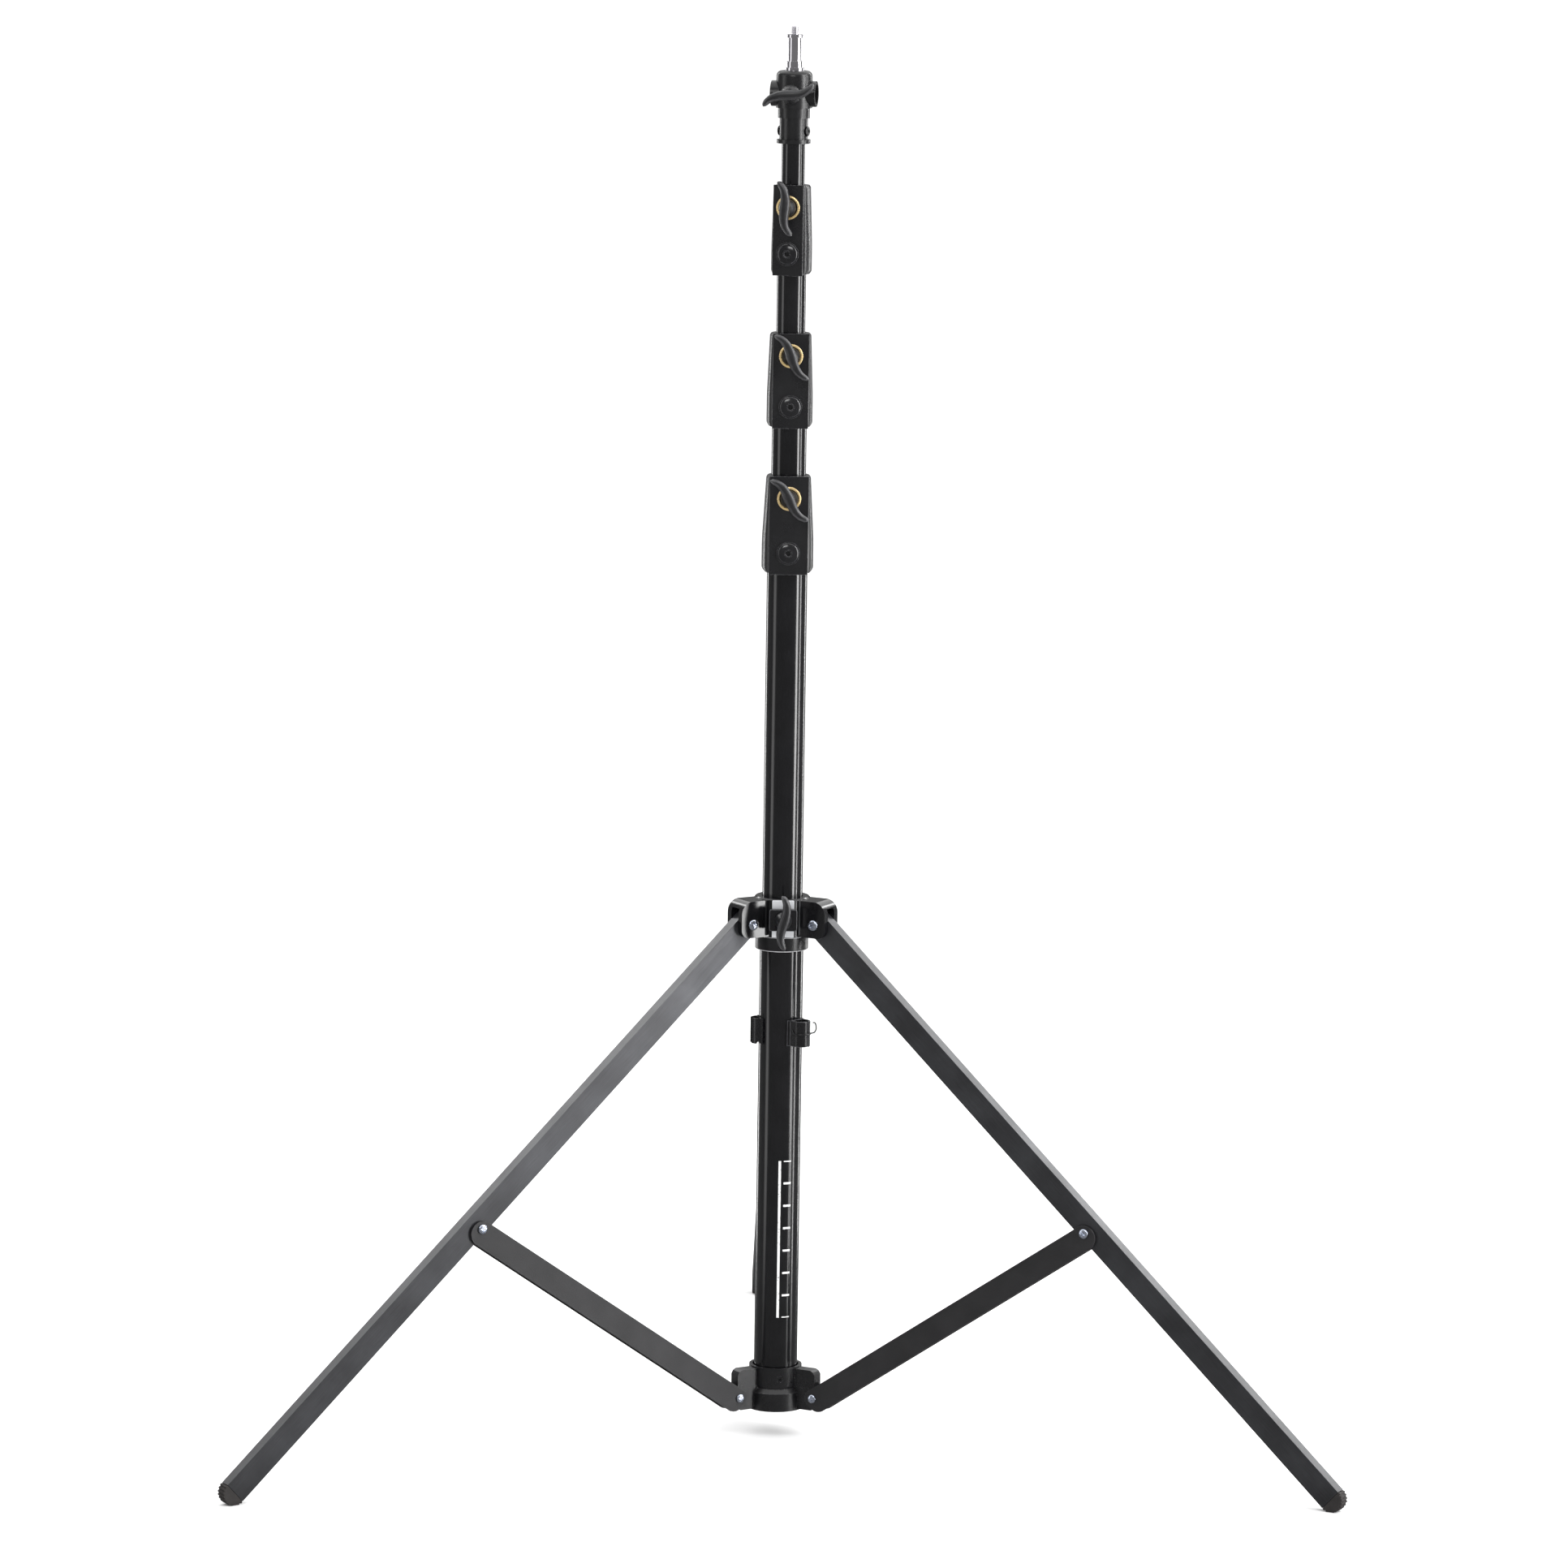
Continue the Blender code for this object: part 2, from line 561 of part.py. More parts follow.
def add_clamp(index, bottom, parent, name):
    """Casting, bush, bolt and wing screw for the top of one column section."""
    body = clamp_body(index, bottom, parent)
    body.rotation_euler.z = math.radians(CLAMP_TURNS[index])
    front = SECTION_RADII[index] + CLAMP_FRONT_WALL
    wing_height = CLAMP_HEIGHTS[index] - WING_DROP
    add_bush(index, wing_height, front, body)
    reach = front - SECTION_RADII[index] - TOUCH
    add_dome_screw(f"clamp_bolt_{index + 1}", BOLT_DOME_RADIUS, BOLT_DOME_HEIGHT,
                   BOLT_SOCKET_RADIUS, BOLT_SOCKET_DEPTH, reach, BOLT_SHANK_RADIUS,
                   body, (0, -front - TOUCH, BOLT_RISE), (90, 0, 0), sides=SMALL_SIDES)
    axis = add_empty(name + "_axis", body, (0, -front, wing_height), (90, 0, 0))
    depth = front - SECTION_RADII[index + 1] - RUNNING
    add_wing_screw(name, axis, depth, WING_BOSS_RADIUS, -BUSH_DEPTH + TOUCH, WING_CHORDS[index])
    return body


# --- Head -------------------------------------------------------------------------------
def head_profile(tube):
    """Outline of the head: its tube socket, its outside from flange to top, its spigot well."""
    flange = tube + HEAD_FLANGE_WALL
    socket = tube + HEAD_SOCKET_WALL
    ring = socket + HEAD_RING_PROUD
    level_a = HEAD_FLANGE_HEIGHT
    level_b = level_a + HEAD_SOCKET_HEIGHT
    level_c = level_b + HEAD_RING_HEIGHT
    top = level_c + HEAD_BARREL_HEIGHT
    well = SPIGOT_RADIUS + PIN_FIT
    floor = top - SPIGOT_TAIL - TOUCH
    soft = HEAD_FLANGE_HEIGHT / 3
    points = [(0, HEAD_TUBE_STOP), (tube + TOUCH, HEAD_TUBE_STOP), (tube + TOUCH, 0),
              (flange - soft, 0), (flange, soft), (flange, level_a - soft),
              (flange - soft, level_a), (socket, level_a), (socket, level_b), (ring, level_b),
              (ring, level_c), (HEAD_BARREL_RADIUS - soft, level_c),
              (HEAD_BARREL_RADIUS, level_c + soft)]
    points += arc((HEAD_BARREL_RADIUS - HEAD_CORNER, top - HEAD_CORNER), HEAD_CORNER, 0, 90, 4)
    return points + [(well, top), (well, floor), (0, floor)], top


def add_head(bottom, parent):
    """Head casting with its tube socket, spigot hole, cross receiver and fasteners."""
    tube = SECTION_RADII[3]
    profile, top = head_profile(tube)
    head = add_object("head_body", turned(profile), CAST_BLACK, parent, (0, 0, bottom),
                      (0, 0, HEAD_TURN))
    arms = bmesh.new()
    root = SPIGOT_RADIUS + PIN_FIT + CROSS_ROOT
    for low, high in ((-CROSS_HALF_LENGTH, -root), (root, CROSS_HALF_LENGTH)):
        add_rod(arms, CROSS_RADIUS + CROSS_WALL, low, high, TUBE_SIDES)
    across = {"location": (0, 0, CROSS_HEIGHT), "rotation": (0, 90, 0)}
    combine(head, add_object("head_arms_tool", arms, **across), "UNION")
    cross = rod(CROSS_RADIUS, -CROSS_HALF_LENGTH - OVERCUT, CROSS_HALF_LENGTH + OVERCUT, 24)
    combine(head, add_object("head_cross_cutter", cross, **across))
    drill = rod(WING_SHANK_RADIUS + PIN_FIT, SPIGOT_RADIUS * 0.5, HEAD_BARREL_RADIUS + OVERCUT)
    combine(head, add_object("head_wing_cutter", drill, location=(0, 0, CROSS_HEIGHT),
                             rotation=(90, 0, 0)))
    for side, azimuth in zip(("right", "left"), HEAD_SCREW_AZIMUTHS):
        turn = outward_rotation(azimuth - HEAD_TURN)
        hole = rod(HEAD_SCREW_SHANK + PIN_FIT, tube * 0.6, tube + 2 * HEAD_FLANGE_WALL, 12)
        combine(head, add_object(f"head_{side}_drill", hole,
                                 location=(0, 0, HEAD_SCREW_HEIGHT), rotation=turn))
        seat = tube + HEAD_SOCKET_WALL
        reach = HEAD_SOCKET_WALL - TOUCH
        add_dome_screw(f"head_screw_{side}", HEAD_SCREW_RADIUS, HEAD_SCREW_HEAD,
                       HEAD_SCREW_SOCKET, HEAD_SCREW_SOCKET_DEPTH, reach, HEAD_SCREW_SHANK, head,
                       polar(seat + TOUCH, azimuth - HEAD_TURN, HEAD_SCREW_HEIGHT), turn,
                       sides=12)
    return head, top


def add_spigot(height, parent):
    """Double-ended spigot: round tail, collar, undercut neck, flange and threaded stud."""
    steps = ((SPIGOT_RADIUS, SPIGOT_TAIL + SPIGOT_PROUD),
             (SPIGOT_COLLAR_RADIUS, SPIGOT_COLLAR_HEIGHT),
             (SPIGOT_NECK_RADIUS, SPIGOT_NECK_HEIGHT),
             (SPIGOT_FLANGE_RADIUS, SPIGOT_FLANGE_HEIGHT),
             (STUD_RADIUS, STUD_HEIGHT))
    level = -SPIGOT_TAIL
    profile = [(0, level)]
    for radius, rise in steps:
        profile += [(radius, level), (radius, level + rise)]
        level += rise
    chamfer = STUD_RADIUS * 0.25
    profile[-1] = (STUD_RADIUS, level - chamfer)
    profile += [(STUD_RADIUS - chamfer, level), (0, level)]
    return add_object("spigot", turned(profile, 24), CHROME, parent, (0, 0, height))


# --- Hub --------------------------------------------------------------------------------
def spread(builder):
    """Repeat a mesh builder's result at the three leg azimuths, in one bmesh."""
    whole = bmesh.new()
    for azimuth in LEG_AZIMUTHS:
        one = builder()
        one.transform(Matrix.Rotation(math.radians(azimuth), 4, "Z"))
        spare = bpy.data.meshes.new("spare")
        one.to_mesh(spare)
        one.free()
        whole.from_mesh(spare)
        bpy.data.meshes.remove(spare)
    return whole


def hub_arm():
    """One arm, pointing along X, with its outer end rounded above and below."""
    inner, reach = BASE_RADIUS + HUB_ARM_ROOT, HUB_PIVOT_RADIUS + HUB_ARM_REACH
    top, foot = HUB_ARM_TOP_ROUND, HUB_ARM_FOOT_ROUND
    low, high = HUB_ARM_FOOT_GAP, HUB_HEIGHT - HUB_ARM_TOP_GAP
    outline = [(inner, low)] + arc((reach - foot, low + foot), foot, -90, 0, 5)
    outline += arc((reach - top, high - top), top, 0, 90, 6) + [(inner, high)]
    return side_plate(outline, HUB_ARM_HALF)


def hub_slot():
    inner = HUB_PIVOT_RADIUS - HUB_SLOT_INNER
    outer = HUB_PIVOT_RADIUS + HUB_ARM_REACH + OVERCUT
    outline = [(inner, -HUB_SLOT_HALF), (outer, -HUB_SLOT_HALF),
               (outer, HUB_SLOT_HALF), (inner, HUB_SLOT_HALF)]
    return prism(outline, -OVERCUT, HUB_HEIGHT - HUB_SLOT_ROOF)


def pivot_drill(radius, pivot_radius, height, half):
    """A cylinder along the hinge line of one leg plane."""
    bm = rod(radius, -half, half, SCREW_SIDES)
    bm.transform(Matrix.Rotation(math.radians(90), 4, "X"))
    bm.transform(Matrix.Translation((pivot_radius, 0, height)))
    return bm


def add_hub(parent):
    """Hub casting, its lower ring, the clamp strip and block and their wing screw."""
    bore = BASE_RADIUS + RUNNING
    barrel = turned([(bore, 0), (HUB_BARREL_RADIUS, 0),
                     (HUB_BARREL_RADIUS, HUB_HEIGHT - HUB_EDGE),
                     (HUB_BARREL_RADIUS - HUB_EDGE, HUB_HEIGHT), (bore, HUB_HEIGHT)])
    hub = add_object("hub_body", barrel, GLOSS_BLACK, parent, (0, 0, HUB_BOTTOM))
    combine(hub, add_object("hub_arms_tool", spread(hub_arm)), "UNION")
    combine(hub, add_object("hub_slots_cutter", spread(hub_slot)))
    drill = spread(lambda: pivot_drill(HUB_PIVOT_SHANK + PIN_FIT, HUB_PIVOT_RADIUS,
                                       HUB_PIVOT_RISE, HUB_ARM_HALF + OVERCUT))
    combine(hub, add_object("hub_pivots_cutter", drill))
    tap = rod(WING_SHANK_RADIUS + PIN_FIT, BASE_RADIUS * 0.5, HUB_BARREL_RADIUS + OVERCUT)
    combine(hub, add_object("hub_clamp_cutter", tap, location=(0, 0, HUB_CLAMP_RISE),
                            rotation=(90, 0, 0)))

    ring_outer = BASE_RADIUS + RUNNING + HUB_RING_WALL
    ring = [(bore, 0), (ring_outer - HUB_RING_EDGE, 0), (ring_outer, HUB_RING_EDGE),
            (ring_outer, HUB_RING_HEIGHT - HUB_RING_EDGE),
            (ring_outer - HUB_RING_EDGE, HUB_RING_HEIGHT), (bore, HUB_RING_HEIGHT)]
    add_object("hub_ring", turned(ring), SATIN_BLACK, parent, (0, 0, HUB_RING_BOTTOM))

    strip_back = HUB_BARREL_RADIUS + TOUCH
    block_back = strip_back + HUB_STRIP_THICKNESS + TOUCH
    front = block_back + HUB_BLOCK_DEPTH
    pieces = (("hub_strip", HUB_STRIP_WIDTH, HUB_HEIGHT - HUB_EDGE, strip_back,
               HUB_STRIP_THICKNESS, 0.0, STEEL, HUB_HEIGHT / 2),
              ("hub_block", HUB_BLOCK_WIDTH, HUB_BLOCK_HEIGHT, block_back,
               HUB_BLOCK_DEPTH, 0.002, GLOSS_BLACK, HUB_CLAMP_RISE))
    for name, width, tall, back, depth, corner, finish, centre in pieces:
        plate = prism(rectangle(width, tall, corner), back, back + depth)
        piece = add_object(name, plate, finish, parent, (0, 0, HUB_BOTTOM + centre), (90, 0, 0))
        hole = rod(WING_SHANK_RADIUS + PIN_FIT, back - OVERCUT / 2, back + depth + OVERCUT)
        combine(piece, add_object(name + "_drill", hole,
                                  location=(0, HUB_CLAMP_RISE - centre, 0)))
    axis = add_empty("hub_wing_axis", parent, (0, -front, HUB_BOTTOM + HUB_CLAMP_RISE),
                     (90, 0, 0))
    add_wing_screw("hub_wing", axis, front - BASE_RADIUS - RUNNING, WING_BOSS_RADIUS, TOUCH,
                   HUB_WING_CHORD)


def add_pivot_bolt(name, half, shank, head_radius, head, parent, location):
    """A pan head, its shank across the leg plane and a round nut, in one piece."""
    edge = head * 0.4
    seat = half + TOUCH
    profile = [(0, -seat - head), (head_radius - edge, -seat - head),
               (head_radius, -seat - head + edge), (head_radius, -seat), (shank, -seat),
               (shank, seat), (head_radius, seat), (head_radius, seat + head - edge),
               (head_radius - edge, seat + head), (0, seat + head)]
    return add_object(name, turned(profile, SCREW_SIDES), ZINC, parent, location, (90, 0, 0))


# --- Legs, feet and braces --------------------------------------------------------------
def add_leg(number, hinge):
    """A rounded rectangular tube, round at the hub end, hanging along local -Z."""
    end = -LEG_LENGTH
    outer = rectangle(LEG_DEPTH, LEG_WIDTH, LEG_CORNER)
    inner = rectangle(LEG_DEPTH - 2 * LEG_WALL, LEG_WIDTH - 2 * LEG_WALL, LEG_CORNER / 3, 3)
    bm = bmesh.new()
    loops = [[bm.verts.new((x, y, z)) for x, y in outline]
             for outline, z in ((outer, LEG_DEPTH / 2), (outer, end), (inner, end),
                                (inner, LEG_DEPTH / 2))]
    for first, second in zip(loops, loops[1:] + loops[:1]):
        for here in range(len(first)):
            beside = (here + 1) % len(first)
            bm.faces.new((first[here], first[beside], second[beside], second[here]))
    leg = add_object(f"leg_{number}", bm, ANODISED_LEG, hinge)
    radius = LEG_DEPTH / 2 - 0.0001
    far = LEG_DEPTH
    outline = arc((0, 0), radius, 0, 180, 14) + [(-far, 0), (-far, far), (far, far), (far, 0)]
    cutter = side_plate(outline, LEG_WIDTH)
    hole = pivot_drill(HUB_PIVOT_SHANK + PIN_FIT, 0, 0, LEG_WIDTH)
    spare = bpy.data.meshes.new("spare")
    hole.to_mesh(spare)
    hole.free()
    cutter.from_mesh(spare)
    bpy.data.meshes.remove(spare)
    combine(leg, add_object(f"leg_{number}_cutter", cutter))


def tread_outline():
    """Half disc below zero with a ribbed edge, flat where the open leg stands on it."""
    base = LEG_DEPTH / 2
    crest, root = base + FOOT_TREAD / 2, base - FOOT_TREAD / 2
    points = [(base, 0)]
    step = 180 / FOOT_TREAD_COUNT
    for rib in range(FOOT_TREAD_COUNT):
        start = -step * rib
        for share, radius in ((0.08, root), (0.22, crest), (0.78, crest), (0.92, root)):
            angle = math.radians(start - share * step)
            points.append((radius * math.cos(angle), radius * math.sin(angle)))
    points.append((-base, 0))
    return points


def add_foot(number, hinge):
    """A ribbed rubber end cap with a plug that fills the end of the leg."""
    foot = add_object(f"foot_{number}", side_plate(tread_outline(), LEG_WIDTH / 2), RUBBER, hinge,
                      (0, 0, -LEG_LENGTH - TOUCH))
    gap = 2 * (LEG_WALL + TOUCH)
    plug = prism(rectangle(LEG_DEPTH - gap, LEG_WIDTH - gap, LEG_CORNER / 3), -FOOT_PLUG_ROOT,
                 FOOT_PLUG)
    combine(foot, add_object(f"foot_{number}_plug_tool", plug), "UNION")
    ground = HUB_PIVOT_HEIGHT / math.cos(LEG_SLOPE)
    block = prism(rectangle(4 * LEG_DEPTH, 4 * LEG_WIDTH, 0), -LEG_DEPTH, 0)
    floor = add_object(f"foot_{number}_floor_cutter", block,
                       location=(0, 0, LEG_LENGTH + TOUCH - ground), rotation=(0, LEG_ANGLE, 0))
    combine(foot, floor)


def brace_outline():
    """Side view of a brace flange: round at the leg end, cornered at the collar end."""
    web, lip = -BRACE_PIVOT_INSET, BRACE_DEPTH - BRACE_PIVOT_INSET
    half = BRACE_DEPTH / 2
    lower = arc((0, 0), BRACE_PIVOT_INSET, 180, 285, 7)
    lower += [(lip - inset, height) for inset, height in BRACE_FOOT_CORNERS]
    upper = arc((web + half, BRACE_LENGTH - BRACE_END_BACK), half, 0, 180, 12)
    return lower + upper


def add_brace(number, hinge):
    """A U-channel along local Z, web towards the column, open side away from it."""
    brace = add_object(f"brace_{number}", side_plate(brace_outline(), BRACE_WIDTH / 2),
                       PAINTED_BRACE, hinge)
    web = -BRACE_PIVOT_INSET + BRACE_WALL
    far = BRACE_DEPTH * 2
    top, bottom = BRACE_LENGTH + far, -far
    cut_top, cut_bottom = BRACE_LENGTH - BRACE_WEB_TOP_CUT, BRACE_WEB_BOTTOM_CUT
    outline = [(-far, bottom), (far, bottom), (far, top), (-far, top), (-far, cut_top),
               (web, cut_top), (web, cut_bottom), (-far, cut_bottom)]
    combine(brace, add_object(f"brace_{number}_channel_cutter",
                              side_plate(outline, BRACE_GAP / 2)))
    lower = pivot_drill(COLLAR_PIVOT_SHANK + PIN_FIT, 0, 0, BRACE_WIDTH)
    combine(brace, add_object(f"brace_{number}_lower_drill", lower))
    upper = pivot_drill(RIVET_SHANK_RADIUS + PIN_FIT, 0, BRACE_LENGTH, BRACE_WIDTH)
    combine(brace, add_object(f"brace_{number}_upper_drill", upper))
    for side, sign in (("near", 1), ("far", -1)):
        seat = BRACE_WIDTH / 2 + TOUCH
        edge = RIVET_HEAD * 0.45
        profile = [(0, BRACE_GAP / 2), (RIVET_SHANK_RADIUS, BRACE_GAP / 2),
                   (RIVET_SHANK_RADIUS, seat), (RIVET_RADIUS, seat),
                   (RIVET_RADIUS, seat + RIVET_HEAD - edge),
                   (RIVET_RADIUS - edge, seat + RIVET_HEAD), (0, seat + RIVET_HEAD)]
        add_object(f"brace_rivet_{number}_{side}", turned(profile, SCREW_SIDES), ZINC, hinge,
                   (0, 0, BRACE_LENGTH), (90 * sign, 0, 0))


def add_leg_set(number, azimuth, stand):
    """One leg with its foot, brace, rivets and pivot bolts."""
    plane = add_empty(f"leg_plane_{number}", stand, rotation=(0, 0, azimuth))
    hub_pivot = (HUB_PIVOT_RADIUS, 0, HUB_PIVOT_HEIGHT)
    collar_pivot = (COLLAR_PIVOT_RADIUS, 0, COLLAR_PIVOT_HEIGHT)
    leg_hinge = add_empty(f"leg_hinge_{number}", plane, hub_pivot, (0, -LEG_ANGLE, 0))
    add_leg(number, leg_hinge)
    add_foot(number, leg_hinge)
    brace_hinge = add_empty(f"brace_hinge_{number}", plane, collar_pivot,
                            (0, math.degrees(BRACE_SLOPE), 0))
    add_brace(number, brace_hinge)
    add_pivot_bolt(f"hub_pivot_{number}", HUB_ARM_HALF, HUB_PIVOT_SHANK, HUB_PIVOT_HEAD_RADIUS,
                   HUB_PIVOT_HEAD, plane, hub_pivot)
    add_pivot_bolt(f"collar_pivot_{number}", BRACE_WIDTH / 2, COLLAR_PIVOT_SHANK,
                   COLLAR_PIVOT_HEAD_RADIUS, COLLAR_PIVOT_HEAD, plane, collar_pivot)


# --- Lower collar and clips -------------------------------------------------------------
def collar_tongue():
    """Lower block of one tongue: the part that the brace is hinged on."""
    reach = COLLAR_PIVOT_RADIUS + TONGUE_REACH
    low, high = COLLAR_FOOT + TONGUE_FOOT_GAP, COLLAR_PIVOT_HEIGHT + TONGUE_STEP
    inner, root = SLEEVE_RADIUS + TONGUE_ROOT, reach - TONGUE_NOSE
    nose = arc((COLLAR_PIVOT_RADIUS, COLLAR_PIVOT_HEIGHT), TONGUE_REACH, -60, 60, 6)
    return side_plate([(inner, low), (root, low)] + nose + [(root, high), (inner, high)],
                      TONGUE_HALF)


def collar_fin():
    """Upper block of one tongue: a thinner upright plate above the hinge block."""
    reach = COLLAR_PIVOT_RADIUS + TONGUE_WEB_REACH
    low = COLLAR_PIVOT_HEIGHT + TONGUE_STEP - FIN_OVERLAP
    high = COLLAR_RIM_HEIGHT - TONGUE_FOOT_GAP
    inner = SLEEVE_RADIUS + COLLAR_RIM_GAP + FIN_ROOT
    return side_plate([(inner, low), (reach, low), (reach, high - FIN_CHAMFER),
                       (reach - FIN_CHAMFER, high), (inner, high)], TONGUE_WEB_HALF)


def add_collar(parent):
    """Lower collar with its hinge tongues, set screw and the plug that shuts the base tube."""
    skirt = COLLAR_RADIUS + COLLAR_SKIRT
    seat = SLEEVE_RADIUS + TOUCH
    rim = SLEEVE_RADIUS + COLLAR_RIM_GAP
    floor = SLEEVE_FOOT - TOUCH
    profile = [(COLLAR_FLOOR_RADIUS, COLLAR_FOOT), (skirt - COLLAR_EDGE, COLLAR_FOOT),
               (skirt, COLLAR_FOOT + COLLAR_EDGE), (skirt, COLLAR_STEP_LOW),
               (COLLAR_RADIUS - COLLAR_CONE_IN, COLLAR_STEP_LOW + COLLAR_CONE_RISE),
               (COLLAR_RADIUS, COLLAR_STEP_HIGH),
               (COLLAR_RADIUS, COLLAR_RIM_HEIGHT - COLLAR_EDGE),
               (COLLAR_RADIUS - COLLAR_EDGE, COLLAR_RIM_HEIGHT), (rim, COLLAR_RIM_HEIGHT),
               (rim, COLLAR_RIM_HEIGHT - COLLAR_RIM_DEPTH),
               (seat, COLLAR_RIM_HEIGHT - COLLAR_RIM_DEPTH), (seat, floor),
               (COLLAR_FLOOR_RADIUS, floor)]
    collar = add_object("lower_collar", turned(profile), CAST_BLACK, parent)
    combine(collar, add_object("collar_fins_tool", spread(collar_fin)), "UNION")
    combine(collar, add_object("collar_tongues_tool", spread(collar_tongue)), "UNION")
    drill = spread(lambda: pivot_drill(COLLAR_PIVOT_SHANK + PIN_FIT, COLLAR_PIVOT_RADIUS,
                                       COLLAR_PIVOT_HEIGHT, TONGUE_HALF + OVERCUT))
    combine(collar, add_object("collar_pivots_cutter", drill))
    turn = outward_rotation(SET_SCREW_AZIMUTH)
    tap = rod(SET_SCREW_RADIUS + PIN_FIT, SLEEVE_RADIUS * 0.6, COLLAR_RADIUS + OVERCUT)
    combine(collar, add_object("collar_tap_cutter", tap, location=(0, 0, SET_SCREW_HEIGHT),
                               rotation=turn))
    tip, face = SLEEVE_RADIUS + TOUCH, COLLAR_RADIUS - SET_SCREW_SUNK
    socket = SET_SCREW_RADIUS * 0.55
    grub = [(0, tip), (SET_SCREW_RADIUS, tip), (SET_SCREW_RADIUS, face), (socket, face),
            (socket, face - SET_SCREW_SOCKET_DEPTH), (0, face - SET_SCREW_SOCKET_DEPTH)]
    add_object("collar_set_screw", turned(grub, 12), CAST_BLACK, parent, (0, 0, SET_SCREW_HEIGHT),
               turn)
    plug_radius = BASE_RADIUS - TUBE_WALL - TOUCH
    bottom = SLEEVE_FOOT
    plug = [(0, bottom), (plug_radius, bottom), (plug_radius, bottom + PLUG_THICKNESS),
            (0, bottom + PLUG_THICKNESS)]
    add_object("base_plug", turned(plug), NYLON, parent)


def clip_outline(reach, mouth):
    """Plan of a cable clip, X outward: a pad that hugs the sleeve and two open prongs."""
    seat = SLEEVE_RADIUS + TOUCH
    pad_outer = seat + CLIP_WALL
    half = CLIP_WIDTH / 2
    tip_angle = math.degrees(math.asin(CLIP_PAD_WIDTH / 2 / seat))
    outside, inside = [], []
    for path, wide, far in ((outside, half, seat + reach),
                            (inside, half - CLIP_WALL, seat + reach - CLIP_WALL)):
        root = math.sqrt(pad_outer ** 2 - wide ** 2)
        bend = max(root, far - wide)
        if bend > root:
            path.append((root, wide))
        for step in range(CLIP_STEPS):
            angle = math.radians(CLIP_TURN * step / CLIP_STEPS)
            path.append((bend + (far - bend) * math.sin(angle),
                         max(wide * math.cos(angle), mouth / 2)))
        path.append((far, mouth / 2))
    upper = inside + outside[::-1]
    lower = [(x, -y) for x, y in reversed(upper)]
    back = arc((0, 0), seat, tip_angle, -tip_angle, 6)
    tips = arc((0, 0), pad_outer, tip_angle, -tip_angle, 1)
    return back + [tips[1]] + lower + upper + [tips[0]]


def add_clips(parent):
    low = CLIP_CENTRE_HEIGHT - CLIP_HEIGHT / 2
    for side, azimuth, reach, mouth in zip(("right", "left"), CLIP_AZIMUTHS, CLIP_REACHES,
                                           CLIP_MOUTHS):
        clip = prism(clip_outline(reach, mouth), low, low + CLIP_HEIGHT)
        add_object(f"cable_clip_{side}", clip, NYLON, parent, rotation=(0, 0, azimuth))


# --- Assembly ---------------------------------------------------------------------------
def add_column(stand):
    """Sleeve, four tubes with their guides and clamps, and the head with its spigot."""
    add_tube("sleeve_tube", SLEEVE_RADIUS, SLEEVE_WALL, SLEEVE_FOOT, SLEEVE_TOP, stand)
    carrier = stand
    clamp_bottom = FIRST_CLAMP_HEIGHT
    tube_bottom = SLEEVE_FOOT
    stop = SLEEVE_FOOT + PLUG_THICKNESS
    for index in range(3):
        tube_top = clamp_bottom + CLAMP_SHOULDER - TOUCH
        name = "base_tube" if index == 0 else f"tube_{index + 1}"
        add_tube(name, SECTION_RADII[index], TUBE_WALL, tube_bottom, tube_top, carrier)
        add_clamp(index, clamp_bottom, carrier, f"clamp_wing_{index + 1}")
        clamp_top = clamp_bottom + CLAMP_HEIGHTS[index]
        clamp_bottom = clamp_top + EXPOSED_LENGTHS[index]
        carrier = add_empty(f"section_{index + 2}_slide", carrier)
        tube_bottom = stop + EXPOSED_LENGTHS[index] + CLOSED_GAP + GUIDE_FLANGE
        add_guide(f"tube_guide_{index + 2}", SECTION_RADII[index + 1], tube_bottom, carrier)
        stop = tube_bottom + GUIDE_SPIGOT
    add_tube("tube_4", SECTION_RADII[3], TUBE_WALL, tube_bottom,
             clamp_bottom + HEAD_TUBE_STOP - TOUCH, carrier)
    head, top = add_head(clamp_bottom, carrier)
    add_spigot(top, head)
    axis = add_empty("head_wing_axis", head, (0, -HEAD_BARREL_RADIUS, CROSS_HEIGHT), (90, 0, 0))
    depth = HEAD_BARREL_RADIUS - SPIGOT_RADIUS - TOUCH
    add_wing_screw("head_wing", axis, depth, WING_BOSS_RADIUS + 0.0008, TOUCH, HEAD_WING_CHORD)


def centre_footprint(stand):
    """Move the stand so that the middle of its footprint is the origin."""
    bpy.context.view_layer.update()
    graph = bpy.context.evaluated_depsgraph_get()
    corners = []
    for item in bpy.data.objects:
        if item.type == "MESH" and not item.hide_render:
            solid = item.evaluated_get(graph)
            corners += [solid.matrix_world @ Vector(corner) for corner in solid.bound_box]
    for axis in (0, 1):
        values = [corner[axis] for corner in corners]
        stand.location[axis] = -(min(values) + max(values)) / 2


def main():
    clear_scene()
    stand = add_empty("stand")
    add_column(stand)
    add_collar(stand)
    add_clips(stand)
    add_hub(add_empty("hub_slide", stand))
    for number, azimuth in enumerate(LEG_AZIMUTHS, start=1):
        add_leg_set(number, azimuth, stand)
    centre_footprint(stand)


main()
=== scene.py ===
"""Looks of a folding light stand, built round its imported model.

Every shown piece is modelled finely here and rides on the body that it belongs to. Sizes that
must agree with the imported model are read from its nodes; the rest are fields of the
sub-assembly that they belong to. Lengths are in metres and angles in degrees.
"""
import json
import logging
import math
from dataclasses import dataclass
from enum import Enum
from typing import Callable, Iterable, Optional, Sequence, Union

import bmesh
import bpy
from mathutils import Matrix, Vector


